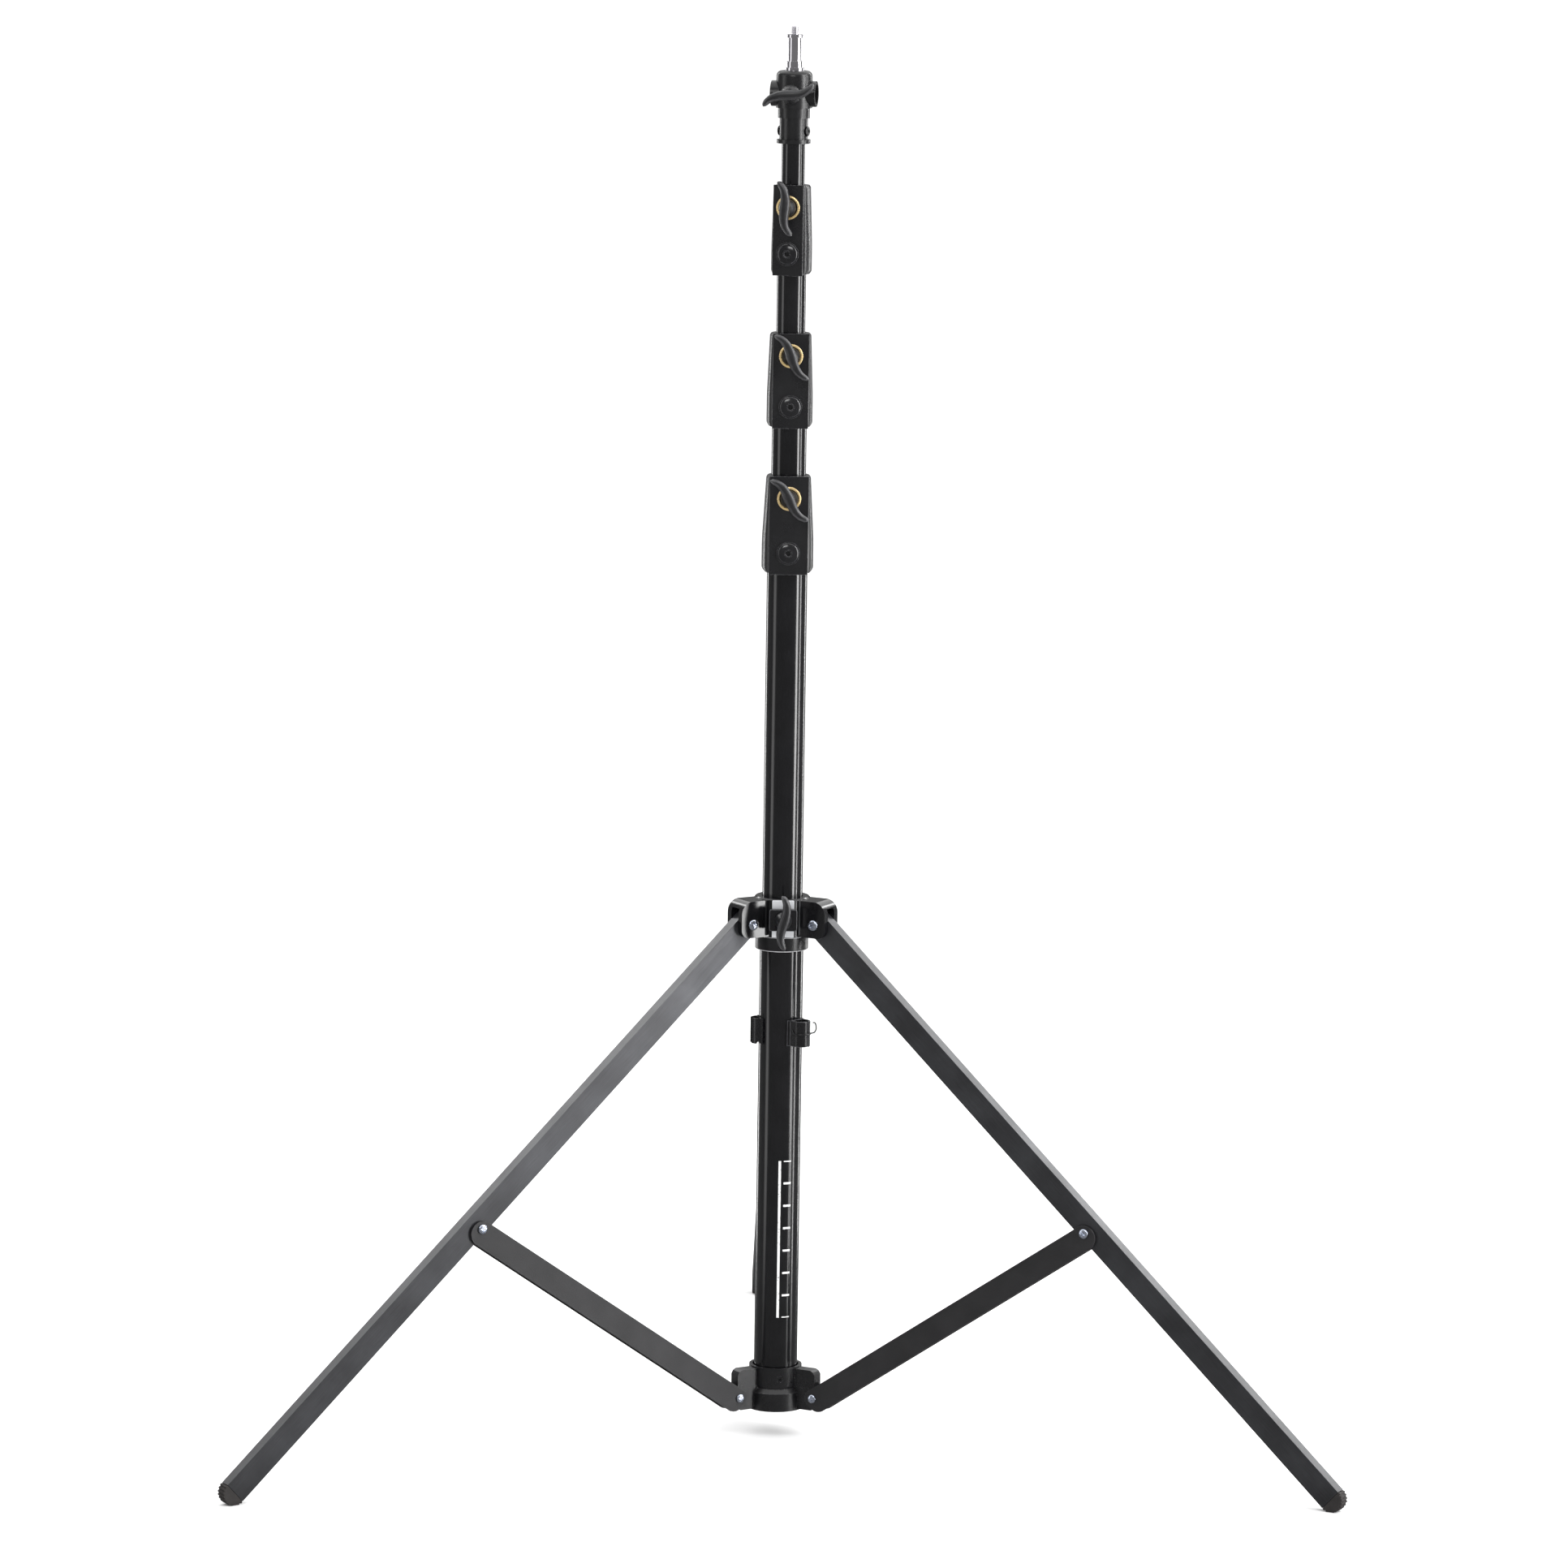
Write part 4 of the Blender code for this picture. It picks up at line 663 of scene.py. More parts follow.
class Workshop:
    """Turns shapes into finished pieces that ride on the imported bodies."""

    def __init__(self) -> None:
        """Learn which body each node is on."""
        groups = frame["record"]["behaviour"]["bodies"]
        self.body_of = {node: body for body, nodes in groups.items() for node in nodes}
        middle = sum(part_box("sleeve_tube"), Vector()) / 2
        self.column = shift(middle.x, middle.y, 0)

    def blank(self, shape: bmesh.types.BMesh) -> bpy.types.Object:
        """A bare object of a shape, which is used up.

        Args:
            shape: The shape.

        Returns:
            The object.
        """
        bmesh.ops.recalc_face_normals(shape, faces=shape.faces)
        mesh = bpy.data.meshes.new("blank")
        shape.to_mesh(mesh)
        shape.free()
        blank = bpy.data.objects.new("blank", mesh)
        bpy.context.scene.collection.objects.link(blank)
        return blank

    def work(self, shape: bmesh.types.BMesh,
             steps: Iterable[tuple[Join, bmesh.types.BMesh]], bevel: float, voxel: float,
             segments: int) -> bpy.types.Mesh:
        """Join, cut, round and smooth a shape.

        Args:
            shape: The first shape.
            steps: What is added to it or cut from it, in order.
            bevel: Width of its rounded edges; zero leaves them.
            voxel: Grid of a moulded shape that blends where its parts meet; zero for none.
            segments: Facets across a rounded edge.

        Returns:
            The finished mesh.
        """
        blank = self.blank(shape)
        blank.data.materials.append(None)
        blank.data.materials.append(None)
        tools = []
        for kind, tool in steps:
            tools.append(self.blank(tool))
            cut = blank.modifiers.new("cut", "BOOLEAN")
            cut.operation, cut.solver, cut.object = kind.value, "EXACT", tools[-1]
        if voxel:
            grid = blank.modifiers.new("mould", "REMESH")
            grid.mode, grid.voxel_size, grid.use_smooth_shade = "VOXEL", voxel, True
            ease = blank.modifiers.new("ease", "SMOOTH")
            ease.factor, ease.iterations = 0.5, 6
        elif bevel:
            round_off = blank.modifiers.new("round", "BEVEL")
            round_off.width, round_off.segments = bevel, segments
            round_off.limit_method, round_off.angle_limit = "ANGLE", math.radians(ROUND_ABOVE)
            round_off.material = 1
        bpy.context.view_layer.update()
        graph = bpy.context.evaluated_depsgraph_get()
        mesh = bpy.data.meshes.new_from_object(blank.evaluated_get(graph))
        for used in (blank, *tools):
            bpy.data.objects.remove(used)
        if voxel:
            self.mark_curved(mesh)
        else:
            self.mark_rounded(mesh)
        return mesh

    @staticmethod
    def mark_rounded(mesh: bpy.types.Mesh) -> None:
        """Store which faces are rounded edges, where the finish puts its edge tone of worn finish
        and painted edge light.

        Args:
            mesh: The mesh, whose second material marks them.
        """
        # edge mark for the edge tone: worn finish and painted edge light
        worn = mesh.attributes.new("edge", "FLOAT", "FACE")
        worn.data.foreach_set("value", [float(face.material_index == 1)
                                        for face in mesh.polygons])
        mesh.polygons.foreach_set("material_index", [0] * len(mesh.polygons))

    @staticmethod
    def mark_curved(mesh: bpy.types.Mesh, flat: float = 180.0, sharp: float = 620.0) -> None:
        """Store how sharply a moulded surface curves, where the finish puts its edge tone of worn
        finish and painted edge light.

        Args:
            mesh: The mesh.
            flat: Curvature that shows none of the edge tone.
            sharp: Curvature that shows the edge tone in full.
        """
        bend = [0.0] * len(mesh.vertices)
        for edge in mesh.edges:
            a, b = (mesh.vertices[k] for k in edge.vertices)
            value = (a.normal - b.normal).length / max((a.co - b.co).length, MERGE)
            for k in edge.vertices:
                bend[k] = max(bend[k], value)
        # edge mark for the edge tone: worn finish and painted edge light
        worn = mesh.attributes.new("edge", "FLOAT", "POINT")
        worn.data.foreach_set("value", [min(max((v - flat) / (sharp - flat), 0.0), 1.0)
                                        for v in bend])

    def add(self, node: str, finish: Finish, shape: bmesh.types.BMesh, at: Matrix,
            steps: Iterable[tuple[Join, bmesh.types.BMesh]] = (), bevel: float = 0.0003,
            voxel: float = 0.0, segments: int = 2, body: Optional[str] = None
            ) -> bpy.types.Object:
        """Make one piece.

        Args:
            node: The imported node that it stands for, or a new name where body is given.
            finish: Its finish.
            shape: Its first shape, in its own coordinates.
            at: Where it stands.
            steps: What is joined to it or cut from it.
            bevel: Width of its rounded edges.
            voxel: Grid of a moulded shape.
            segments: Facets across a rounded edge.
            body: The body that a piece without a node rides on.

        Returns:
            The piece.
        """
        mesh = self.work(shape, steps, bevel, voxel, segments)
        mesh.materials.clear()
        mesh.materials.append(finish.material())
        mesh.shade_smooth()
        if not voxel:
            mesh.set_sharp_from_angle(angle=math.radians(SMOOTH_BELOW))
        piece = bpy.data.objects.new("fine_" + node, mesh)
        mesh.name = piece.name
        bpy.context.scene.collection.objects.link(piece)
        if not voxel and bevel:
            even = piece.modifiers.new("even", "WEIGHTED_NORMAL")
            even.keep_sharp = True
        if finish.run is Grain.EVEN:
            mesh.transform(at)
        else:
            piece.matrix_world = at
        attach(piece, body or self.body_of[node])
        if body is None:
            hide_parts(node)
        log.info("%s: %d faces on %s", piece.name, len(mesh.polygons),
                 body or self.body_of[node])
        return piece

    def keep(self, node: str, finish: Finish) -> None:
        """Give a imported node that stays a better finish."""
        frame["nodes"][node].data.materials[0] = finish.material()
        log.info("%s: kept with %s", node, finish.name)


# --- Column -----------------------------------------------------------------------------
@dataclass
class Column:
    """Sleeve and four telescoping tubes."""

    wall: float = 0.0015
    sleeve_wall: float = 0.0012

    def build(self, shop: Workshop) -> None:
        """Make the tubes at their packed sizes, and keep the rings inside them.

        Args:
            shop: The workshop that makes the pieces.
        """
        for node in ("sleeve_tube", "base_tube", "tube_2", "tube_3", "tube_4"):
            low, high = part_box(node)
            radius = (high.x - low.x) / 2
            sleeve = node == "sleeve_tube"
            inner = radius - (self.sleeve_wall if sleeve else self.wall)
            shape = lathe([(inner, low.z), (radius, low.z), (radius, high.z),
                           (inner, high.z)], TURNED)
            shop.add(node, SLEEVE if sleeve else TUBE, shape, shop.column, bevel=0.00025)
        for node in ("base_plug", "tube_guide_2", "tube_guide_3", "tube_guide_4"):
            shop.keep(node, NYLON)


@dataclass
class WingScrew:
    """A moulded wing screw: an S-shaped wing on a round boss with a shank."""

    half: float = 0.025
    start: float = 0.0095
    thick: float = 0.008
    bend: float = 0.37
    skew: float = 0.27
    middle: float = 0.0045
    tip: float = 0.0022
    boss: float = 0.0075
    shank: float = 0.0039
    rounding: float = 0.72
    voxel: float = 0.00048

    def section(self, share: float, steps: int = 20) -> list[Vector]:
        """One cross-section of the wing, at a share of the way from its middle to a tip.

        Args:
            share: From -1 at one tip to 1 at the other.
            steps: Points round the section.

        Returns:
            The points.
        """
        reach = self.half - self.tip * 0.55
        size = abs(share)
        cap = math.sqrt(max(1 - (max(size - 0.86, 0) / 0.14) ** 2, 0.03))
        wide = (self.tip + (self.middle - self.tip) * (1 - size ** 1.4)) * cap
        tall = self.thick / 2 * (1 - 0.22 * size ** 2) * (0.35 + 0.65 * cap)
        slope = math.atan(3 * self.bend * share ** 2 - self.skew)
        x = reach * share
        y = self.half * (self.bend * share ** 3 - self.skew * share)
        ring = []
        for step in range(steps):
            angle = 2 * math.pi * step / steps
            cos, sin = math.cos(angle), math.sin(angle)
            across = wide * math.copysign(abs(cos) ** self.rounding, cos)
            up = tall * math.copysign(abs(sin) ** self.rounding, sin)
            ring.append(Vector((x - across * math.sin(slope), y + across * math.cos(slope),
                                self.start + self.thick / 2 + up)))
        return ring

    def build(self, shop: Workshop, node: str, at: Matrix, reach: float, seat: float) -> None:
        """Make one screw.

        Args:
            shop: The workshop.
            node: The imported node.
            at: Its face frame, local Z outward.
            reach: Depth of the shank's tip behind the face.
            seat: Height of the boss's underside over the face.
        """
        count = 34
        wing = skin([self.section(-1 + 2 * step / count) for step in range(count + 1)])
        top = self.start + self.thick
        boss = self.boss
        turned = [(0, -reach), (self.shank, -reach), (self.shank, seat), (boss, seat),
                  (boss, self.start * 0.5), (boss * 0.86, self.start * 0.82),
                  (boss * 0.66, self.start + 0.0012), (boss * 0.56, top - 0.0030),
                  (boss * 0.40, top - 0.0010), (0, top - 0.0006)]
        shop.add(node, WING, wing, at, [(Join.ADD, lathe(turned, 48))], voxel=self.voxel)


@dataclass
class Clamp:
    """One clamp casting with its flat front plate, bush, bolt and wing screw."""

    number: int
    bend: float
    chord: float
    lower: float
    upper: float
    reveal: float
    front_wall: float = 0.004
    flank_wall: float = 0.0048
    back_wall: float = 0.0035
    plate: float = 0.0042
    plate_set: float = 0.0011
    shoulder: float = 0.040
    top_reveal: float = 0.0024
    wing_drop: float = 0.0192
    bolt_rise: float = 0.0186
    bush: float = 0.01025
    bush_wall: float = 0.0021
    bush_depth: float = 0.0026
    bush_proud: float = 0.001
    bolt_hole: float = 0.00315
    bolt_shank: float = 0.003
    socket: float = 0.0027
    socket_deep: float = 0.0024
    dome: float = 0.010
    dome_height: float = 0.0028
    touch: float = GAP
    running: float = 0.0004

    def flank_width(self, share: float, flank: float, half: float) -> float:
        """Half width of the flanks at a share of the height.

        Args:
            share: From zero at the foot to one at the top.
            flank: Half width at the widest.
            half: Half width of the plate.

        Returns:
            The half width.
        """
        top = half + self.top_reveal
        foot = max(1 - share / 0.05, 0.0)
        draw = 0.45 * foot ** 2 * (flank - half)
        narrow = min(max((share - 0.33) / 0.66, 0.0), 1.0)
        crown = max((share - 0.97) / 0.03, 0.0)
        return flank - draw - (flank - top) * narrow - 0.5 * self.top_reveal * crown ** 2

    def flank_outline(self, half: float, front: float, flank: float, back: float) -> Outline:
        """Plan of the casting behind its plate.

        Args:
            half: Half width of the plate.
            front: Depth of the plate's face before the axis.
            flank: Half width here.
            back: Depth behind the axis.

        Returns:
            The outline.
        """
        seam = -front + self.plate
        right: Outline = [(half - 0.0007, -front + self.plate_set), (half - 0.0007, seam - 0.0006)]
        for step in range(1, 9):
            angle = math.radians(90 * step / 8)
            right.append((half + (flank - half) * math.sin(angle), seam * math.cos(angle)))
        for step in range(1, 15):
            angle = math.radians(90 * step / 14)
            right.append((flank * math.cos(angle), back * math.sin(angle)))
        return right + [(-x, y) for x, y in reversed(right[:-1])]

    def build(self, shop: Workshop) -> None:
        """Make the casting and what is screwed to it.

        Args:
            shop: The workshop that makes the pieces.
        """
        node = f"clamp_body_{self.number}"
        low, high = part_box(node)
        height = high.z - low.z
        at = shop.column @ shift(0, 0, low.z) @ turn(self.bend, "Z")
        front, flank = self.lower + self.front_wall, self.lower + self.flank_wall
        back, half = self.lower + self.back_wall, flank - self.reveal
        shares = ([0.0, 0.012, 0.025, 0.04, 0.055] + [0.1 + 0.087 * k for k in range(11)]
                  + [0.98, 0.99, 1.0])
        rings = []
        for share in shares:
            level = 0.0011 + share * (height - 0.0017)
            width = self.flank_width(share, flank, half)
            rings.append([Vector((x, y, level))
                          for x, y in self.flank_outline(half, front, width, back)])
        plate = slab([(half, -front), (half, -front + self.plate - 0.0009),
                      (-half, -front + self.plate - 0.0009), (-half, -front)], 0.0, height)
        grip, slide = self.lower + self.touch, self.upper + self.running
        bore = lathe([(0, -OVER), (grip, -OVER), (grip, self.shoulder), (slide, self.shoulder),
                      (slide, height + OVER), (0, height + OVER)], TURNED)
        seat = self.bush + self.touch
        wing_height = height - self.wing_drop
        pocket = moved(lathe([(0, self.upper / 2), (WING_HOLE, self.upper / 2),
                              (WING_HOLE, front - self.bush_depth),
                              (seat, front - self.bush_depth),
                              (seat, front + OVER), (0, front + OVER)], MEDIUM),
                       shift(0, 0, wing_height) @ turn(90, "X"))
        drill = moved(rod(self.bolt_hole, self.lower / 2, front + OVER),
                      shift(0, 0, self.bolt_rise) @ turn(90, "X"))
        shop.add(node, CASTING, skin(rings), at,
                 [(Join.ADD, plate), (Join.CUT, bore), (Join.CUT, pocket), (Join.CUT, drill)],
                 bevel=0.0005, segments=3)
        face = at @ shift(0, -front, wing_height) @ turn(90, "X")
        self.build_bush(shop, face)
        self.build_bolt(shop, at @ shift(0, -front - self.touch, self.bolt_rise)
                        @ turn(90, "X"), front - self.lower - self.touch)
        wing = WingScrew()
        wing.build(shop, f"clamp_wing_{self.number}", face @ turn(self.chord, "Z"),
                   front - self.upper - self.running, -self.bush_depth + self.touch)

    def build_bush(self, shop: Workshop, face: Matrix) -> None:
        """The brass ring let in round the wing screw, with a rolled lip.

        Args:
            shop: The workshop that makes the pieces.
            face: Frame of the plate's face at the screw, local Z outward.
        """
        inner, outer = self.bush - self.bush_wall, self.bush
        low, high = -self.bush_depth + self.touch, self.bush_proud
        middle, half = (inner + outer) / 2, self.bush_wall / 2
        lip = [(middle + half * math.cos(math.radians(a)),
                high - half * 0.4 + half * 0.4 * math.sin(math.radians(a)))
               for a in range(0, 181, 20)]
        shop.add(f"clamp_bush_{self.number}", BRASS, lathe([(inner, low), (outer, low)] + lip),
                 face, bevel=0.00015)

    def build_bolt(self, shop: Workshop, at: Matrix, reach: float) -> None:
        """A stepped dome head with a hexagon socket.

        Args:
            shop: The workshop that makes the pieces.
            at: Frame of the head's underside, local Z outward.
            reach: Length of the shank.
        """
        rim = self.dome_height * 0.28
        crown = self.dome * 0.86
        dome = [(crown * math.cos(math.radians(a)),
                 rim * 1.25 + (self.dome_height - rim * 1.25) * math.sin(math.radians(a)))
                for a in range(0, 71, 10)]
        shank = self.bolt_shank
        profile = [(0, -reach), (shank, -reach), (shank, 0), (self.dome, 0), (self.dome, rim),
                   (crown + 0.0004, rim)] + dome + [(0.0036, self.dome_height),
                                                    (0.0033, self.dome_height - 0.0003),
                                                    (0, self.dome_height - 0.0003)]
        socket = rod(self.socket, self.dome_height - self.socket_deep,
                     self.dome_height + 0.002, 6)
        shop.add(f"clamp_bolt_{self.number}", BOLT_BLACK, lathe(profile), at,
                 [(Join.CUT, socket)], bevel=0.00016)


# --- Head and spigot --------------------------------------------------------------------
@dataclass
class Head:
    """The casting on the top tube: flange, socket, ring, barrel and cross receiver."""

    bend: float = -12.0
    chord: float = 19.0
    tube: float = 0.010
    levels: tuple = (0.0033, 0.0216, 0.0302, 0.062)
    radii: tuple = (0.0145, 0.01215, 0.01365, 0.0155)
    corner: float = 0.0048
    stop: float = 0.0275
    cross: float = 0.0423
    bore: float = 0.0083
    receiver: float = 0.011
    half: float = 0.0194
    well: float = 0.00815
    tail: float = 0.0298
    grub: float = 0.002
    grub_tip: float = 0.00185
    grub_head: float = 0.00425
    screw_height: float = 0.0105
    screw_azimuths: tuple = (-24.0, 156.0)

    def build(self, shop: Workshop) -> None:
        """Make the casting, its two grub screws and its wing screw.

        Args:
            shop: The workshop that makes the pieces.
        """
        low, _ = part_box("head_body")
        at = shop.column @ shift(0, 0, low.z) @ turn(self.bend, "Z")
        first, second, third, top = self.levels
        flange, socket, ring, barrel = self.radii
        tube = self.tube + GAP
        profile = [(0, self.stop), (tube, self.stop), (tube, 0), (flange, 0), (flange, first),
                   (socket, first), (socket, second), (ring, second), (ring, third),
                   (barrel, third)]
        profile += arc((barrel - self.corner, top - self.corner), self.corner, 0, 90, 10)
        profile += [(self.well, top), (self.well, top - self.tail), (0, top - self.tail)]
        steps = []
        for sign in (-1, 1):
            arm = moved(rod(self.receiver, 0.0095, self.half, FINE),
                        shift(0, 0, self.cross) @ turn(90 * sign, "Y"))
            steps.append((Join.ADD, arm))
        bore = moved(rod(self.bore, -self.half - OVER, self.half + OVER, 56),
                     shift(0, 0, self.cross) @ turn(90, "Y"))
        tap = moved(rod(WING_HOLE, 0.004, barrel + OVER), shift(0, 0, self.cross) @ turn(90, "X"))
        steps += [(Join.CUT, bore), (Join.CUT, tap)]
        for azimuth in self.screw_azimuths:
            steps.append((Join.CUT, moved(rod(0.00215, 0.006, 0.019),
                                          shift(0, 0, self.screw_height)
                                          @ outward(azimuth - self.bend))))
        shop.add("head_body", CASTING, lathe(profile), at, steps, bevel=0.0005, segments=3)
        for side, azimuth in zip(("right", "left"), self.screw_azimuths):
            place = (shop.column @ shift(0, 0, low.z + self.screw_height) @ outward(azimuth)
                     @ shift(0, 0, socket + GAP))
            dome = [(self.grub_head * math.cos(math.radians(a)),
                     0.0006 + 0.0013 * math.sin(math.radians(a))) for a in range(0, 71, 10)]
            shape = lathe([(0, -self.grub_tip), (self.grub, -self.grub_tip), (self.grub, 0),
                           (self.grub_head, 0)] + dome + [(0, 0.00182)], MEDIUM)
            shop.add(f"head_screw_{side}", BOLT_BLACK, shape, place,
                     [(Join.CUT, rod(0.0015, 0.0006, 0.003, 6))], bevel=0.00012)
        face = at @ shift(0, -barrel, self.cross) @ turn(90, "X") @ turn(self.chord, "Z")
        WingScrew(boss=0.0083).build(shop, "head_wing", face, barrel - 0.0083, GAP)


@dataclass
class Spigot:
    """Turned and plated post with a threaded stud."""

    tail: float = 0.0295
    steps: tuple = ((0.008, 0.0025), (0.0069, 0.0054), (0.00575, 0.020), (0.0071, 0.0026))
    stud: float = 0.003175
    stud_height: float = 0.0077
    pitch: float = 0.00127
    thread: float = 0.00062

    def stud_shape(self, base: float) -> bmesh.types.BMesh:
        """A cut thread that runs out into a chamfer.

        Args:
            base: Height of its foot.

        Returns:
            A closed mesh.
        """
        rings = []
        count, sides = 72, 28
        for level in range(count + 1):
            height = self.stud_height * level / count
            taper = min(max((self.stud_height - height) / 0.0009, 0.0), 1.0)
            ring = []
            for side in range(sides):
                angle = 2 * math.pi * side / sides
                phase = (height / self.pitch - side / sides) % 1.0
                groove = self.thread * (1 - abs(2 * phase - 1))
                radius = min(self.stud - groove, self.stud - 0.0009 * (1 - taper))
                ring.append(Vector((radius * math.cos(angle), radius * math.sin(angle),
                                    base + height)))
            rings.append(ring)
        return skin(rings)

    def build(self, shop: Workshop) -> None:
        """Make the post in one piece.

        Args:
            shop: The workshop that makes the pieces.
        """
        low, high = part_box("spigot")
        level = -self.tail
        profile: Outline = [(0, level)]
        for place, (radius, rise) in enumerate(self.steps):
            rise += self.tail if place == 0 else 0
            profile += [(radius, level), (radius, level + rise)]
            level += rise
        profile.append((0, level))
        shop.add("spigot", CHROME, lathe(profile), shop.column @ shift(0, 0, low.z + self.tail),
                 [(Join.ADD, self.stud_shape(level - 0.0004))] if self.thread else (),
                 bevel=0.0004, segments=3)
        log.info("spigot top at %.4f", high.z)


# --- Hub, legs and collar ---------------------------------------------------------------
AZIMUTHS = (90.0, 210.0, 330.0)


def thrice(builder: Callable[[], bmesh.types.BMesh]) -> bmesh.types.BMesh:
    """A shape repeated at the three legs."""
    return together(*(moved(builder(), turn(azimuth, "Z")) for azimuth in AZIMUTHS))


@dataclass
class PanScrew:
    """A plated screw with a cross recess in each rounded head."""

    half: float
    shank: float
    head: float
    rise: float
    single: bool = False
    inner: float = 0.0

    def cap(self, seat: float) -> Outline:
        """Outline of one head, from its rim to its middle.

        Args:
            seat: Height of its underside.

        Returns:
            The outline, without its last point.
        """
        base = self.rise * 0.35
        return [(self.head, seat)] + [(self.head * math.cos(math.radians(a)) ** 0.7, seat + base
                + (self.rise - base) * math.sin(math.radians(a))) for a in range(0, 81, 10)]

    def build(self, shop: Workshop, node: str, at: Matrix) -> None:
        """Make the screw across a leg plane.

        Args:
            shop: The workshop that makes the pieces.
            node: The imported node.
            at: Frame of its middle, local Z along its axis.
        """
        seat = self.half + GAP
        cap = self.cap(seat)
        foot = [(0, self.inner), (self.shank, self.inner)]
        if not self.single:
            foot = [(r, -z) for r, z in reversed(cap)] + [(self.shank, -seat)]
            foot.insert(0, (0, -seat - self.rise))
        shape = lathe(foot + [(self.shank, seat)] + cap + [(0, seat + self.rise)], MEDIUM)
        arm, depth = self.head * 0.52, self.rise * 0.62
        steps = []
        for sign in ((1,) if self.single else (1, -1)):
            top = seat + self.rise
            low, high = sorted((sign * (top - depth), sign * (top + 0.001)))
            for tilt in (20, 110):
                slot = slab(box_outline(2 * arm, self.head * 0.20), low, high)
                steps.append((Join.CUT, moved(slot, turn(tilt, "Z"))))
        shop.add(node, ZINC, shape, at, steps, bevel=0.0001, segments=1)


@dataclass
class Hub:
    """The sliding hub: arms, lower ring, strip, block, pivots and wing screw."""

    tube: float = 0.0175
    running: float = 0.0004
    wall: float = 0.0062
    pivot: float = 0.037
    pivot_rise: float = 0.0119
    height: float = 0.0335
    reach: float = 0.0112
    top_round: float = 0.011
    foot_round: float = 0.0075
    slot: float = 0.006
    ear: float = 0.006
    slot_inner: float = 0.0115
    roof: float = 0.0075
    ring_wall: float = 0.0052
    pin_hole: float = 0.00305
    strip_deep: float = 0.0018
    block_deep: float = 0.005
    block_set: float = 0.0024
    clamp_rise: float = 0.0165
    chord: float = -92.0

    def arm(self) -> bmesh.types.BMesh:
        """One arm along X, rounded above and below.

        Returns:
            A closed mesh.
        """
        inner, reach = self.tube + 0.0024, self.pivot + self.reach
        low, high = 0.0004, self.height - 0.0012
        outline = [(inner, low)] + arc((reach - self.foot_round, low + self.foot_round),
                                       self.foot_round, -90, 0, 10)
        outline += arc((reach - self.top_round, high - self.top_round), self.top_round, 0, 90, 14)
        return side_slab(outline + [(inner, high)], self.slot + self.ear)

    def gap(self) -> bmesh.types.BMesh:
        """The slot that a leg folds into.

        Returns:
            A closed mesh.
        """
        inner, outer = self.pivot - self.slot_inner, self.pivot + self.reach + 0.004
        return slab([(inner, -self.slot), (outer, -self.slot), (outer, self.slot),
                     (inner, self.slot)], -0.004, self.height - self.roof)

    def build(self, shop: Workshop) -> None:
        """Make the hub's pieces.

        Args:
            shop: The workshop that makes the pieces.
        """
        low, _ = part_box("hub_body")
        at = shop.column @ shift(0, 0, low.z)
        bore, outer = self.tube + self.running, self.tube + self.running + self.wall
        barrel = lathe([(bore, 0), (outer, 0), (outer, self.height - 0.001),
                        (outer - 0.001, self.height), (bore, self.height)], TURNED)
        half = self.slot + self.ear
        drills = thrice(lambda: cross_rod(self.pin_hole, half + OVER, self.pivot, self.pivot_rise))
        tap = moved(rod(WING_HOLE, self.tube / 2, outer + OVER),
                    shift(0, 0, self.clamp_rise) @ turn(90, "X"))
        shop.add("hub_body", HUB_GLOSS, barrel, at,
                 [(Join.ADD, thrice(self.arm)), (Join.CUT, thrice(self.gap)),
                  (Join.CUT, drills), (Join.CUT, tap)], bevel=0.0006, segments=3)
        for number, azimuth in enumerate(AZIMUTHS, start=1):
            place = (at @ turn(azimuth, "Z") @ shift(self.pivot, 0, self.pivot_rise)
                     @ turn(90, "X"))
            PanScrew(half, 0.0029, 0.0046, 0.002).build(shop, f"hub_pivot_{number}", place)
        ring_low, ring_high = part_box("hub_ring")
        rise, edge = ring_high.z - ring_low.z, self.tube + self.running + self.ring_wall
        shop.add("hub_ring", CASTING,
                 lathe([(bore, 0), (edge, 0), (edge, rise), (bore, rise)], TURNED),
                 shop.column @ shift(0, 0, ring_low.z), bevel=0.0007, segments=3)
        self.build_clamp(shop, at, outer)

    def build_clamp(self, shop: Workshop, at: Matrix, outer: float) -> None:
        """The spring strip, the block on it and the wing screw through both.

        Args:
            shop: The workshop that makes the pieces.
            at: Frame of the hub's foot.
            outer: Radius of the barrel.
        """
        rows = (("hub_strip", STEEL, 0.019, self.height - 0.001, outer + GAP, self.strip_deep,
                 0.0008, self.height / 2, 0.0003),
                ("hub_block", HUB_GLOSS, 0.0245, 0.0193, outer + self.block_set,
                 self.block_deep, 0.002, self.clamp_rise, 0.0008))
        for node, finish, wide, tall, back, deep, corner, rise, bevel in rows:
            tap = rod(WING_HOLE, back - 0.002, back + deep + 0.004)
            shop.add(node, finish, slab(box_outline(wide, tall, corner), back, back + deep),
                     at @ shift(0, 0, rise) @ turn(90, "X"),
                     [(Join.CUT, moved(tap, shift(0, self.clamp_rise - rise, 0)))],
                     bevel=bevel, segments=3)
        front = outer + self.block_set + self.block_deep
        face = at @ shift(0, -front, self.clamp_rise) @ turn(90, "X") @ turn(self.chord, "Z")
        WingScrew().build(shop, "hub_wing", face, front - self.tube - self.running, GAP)


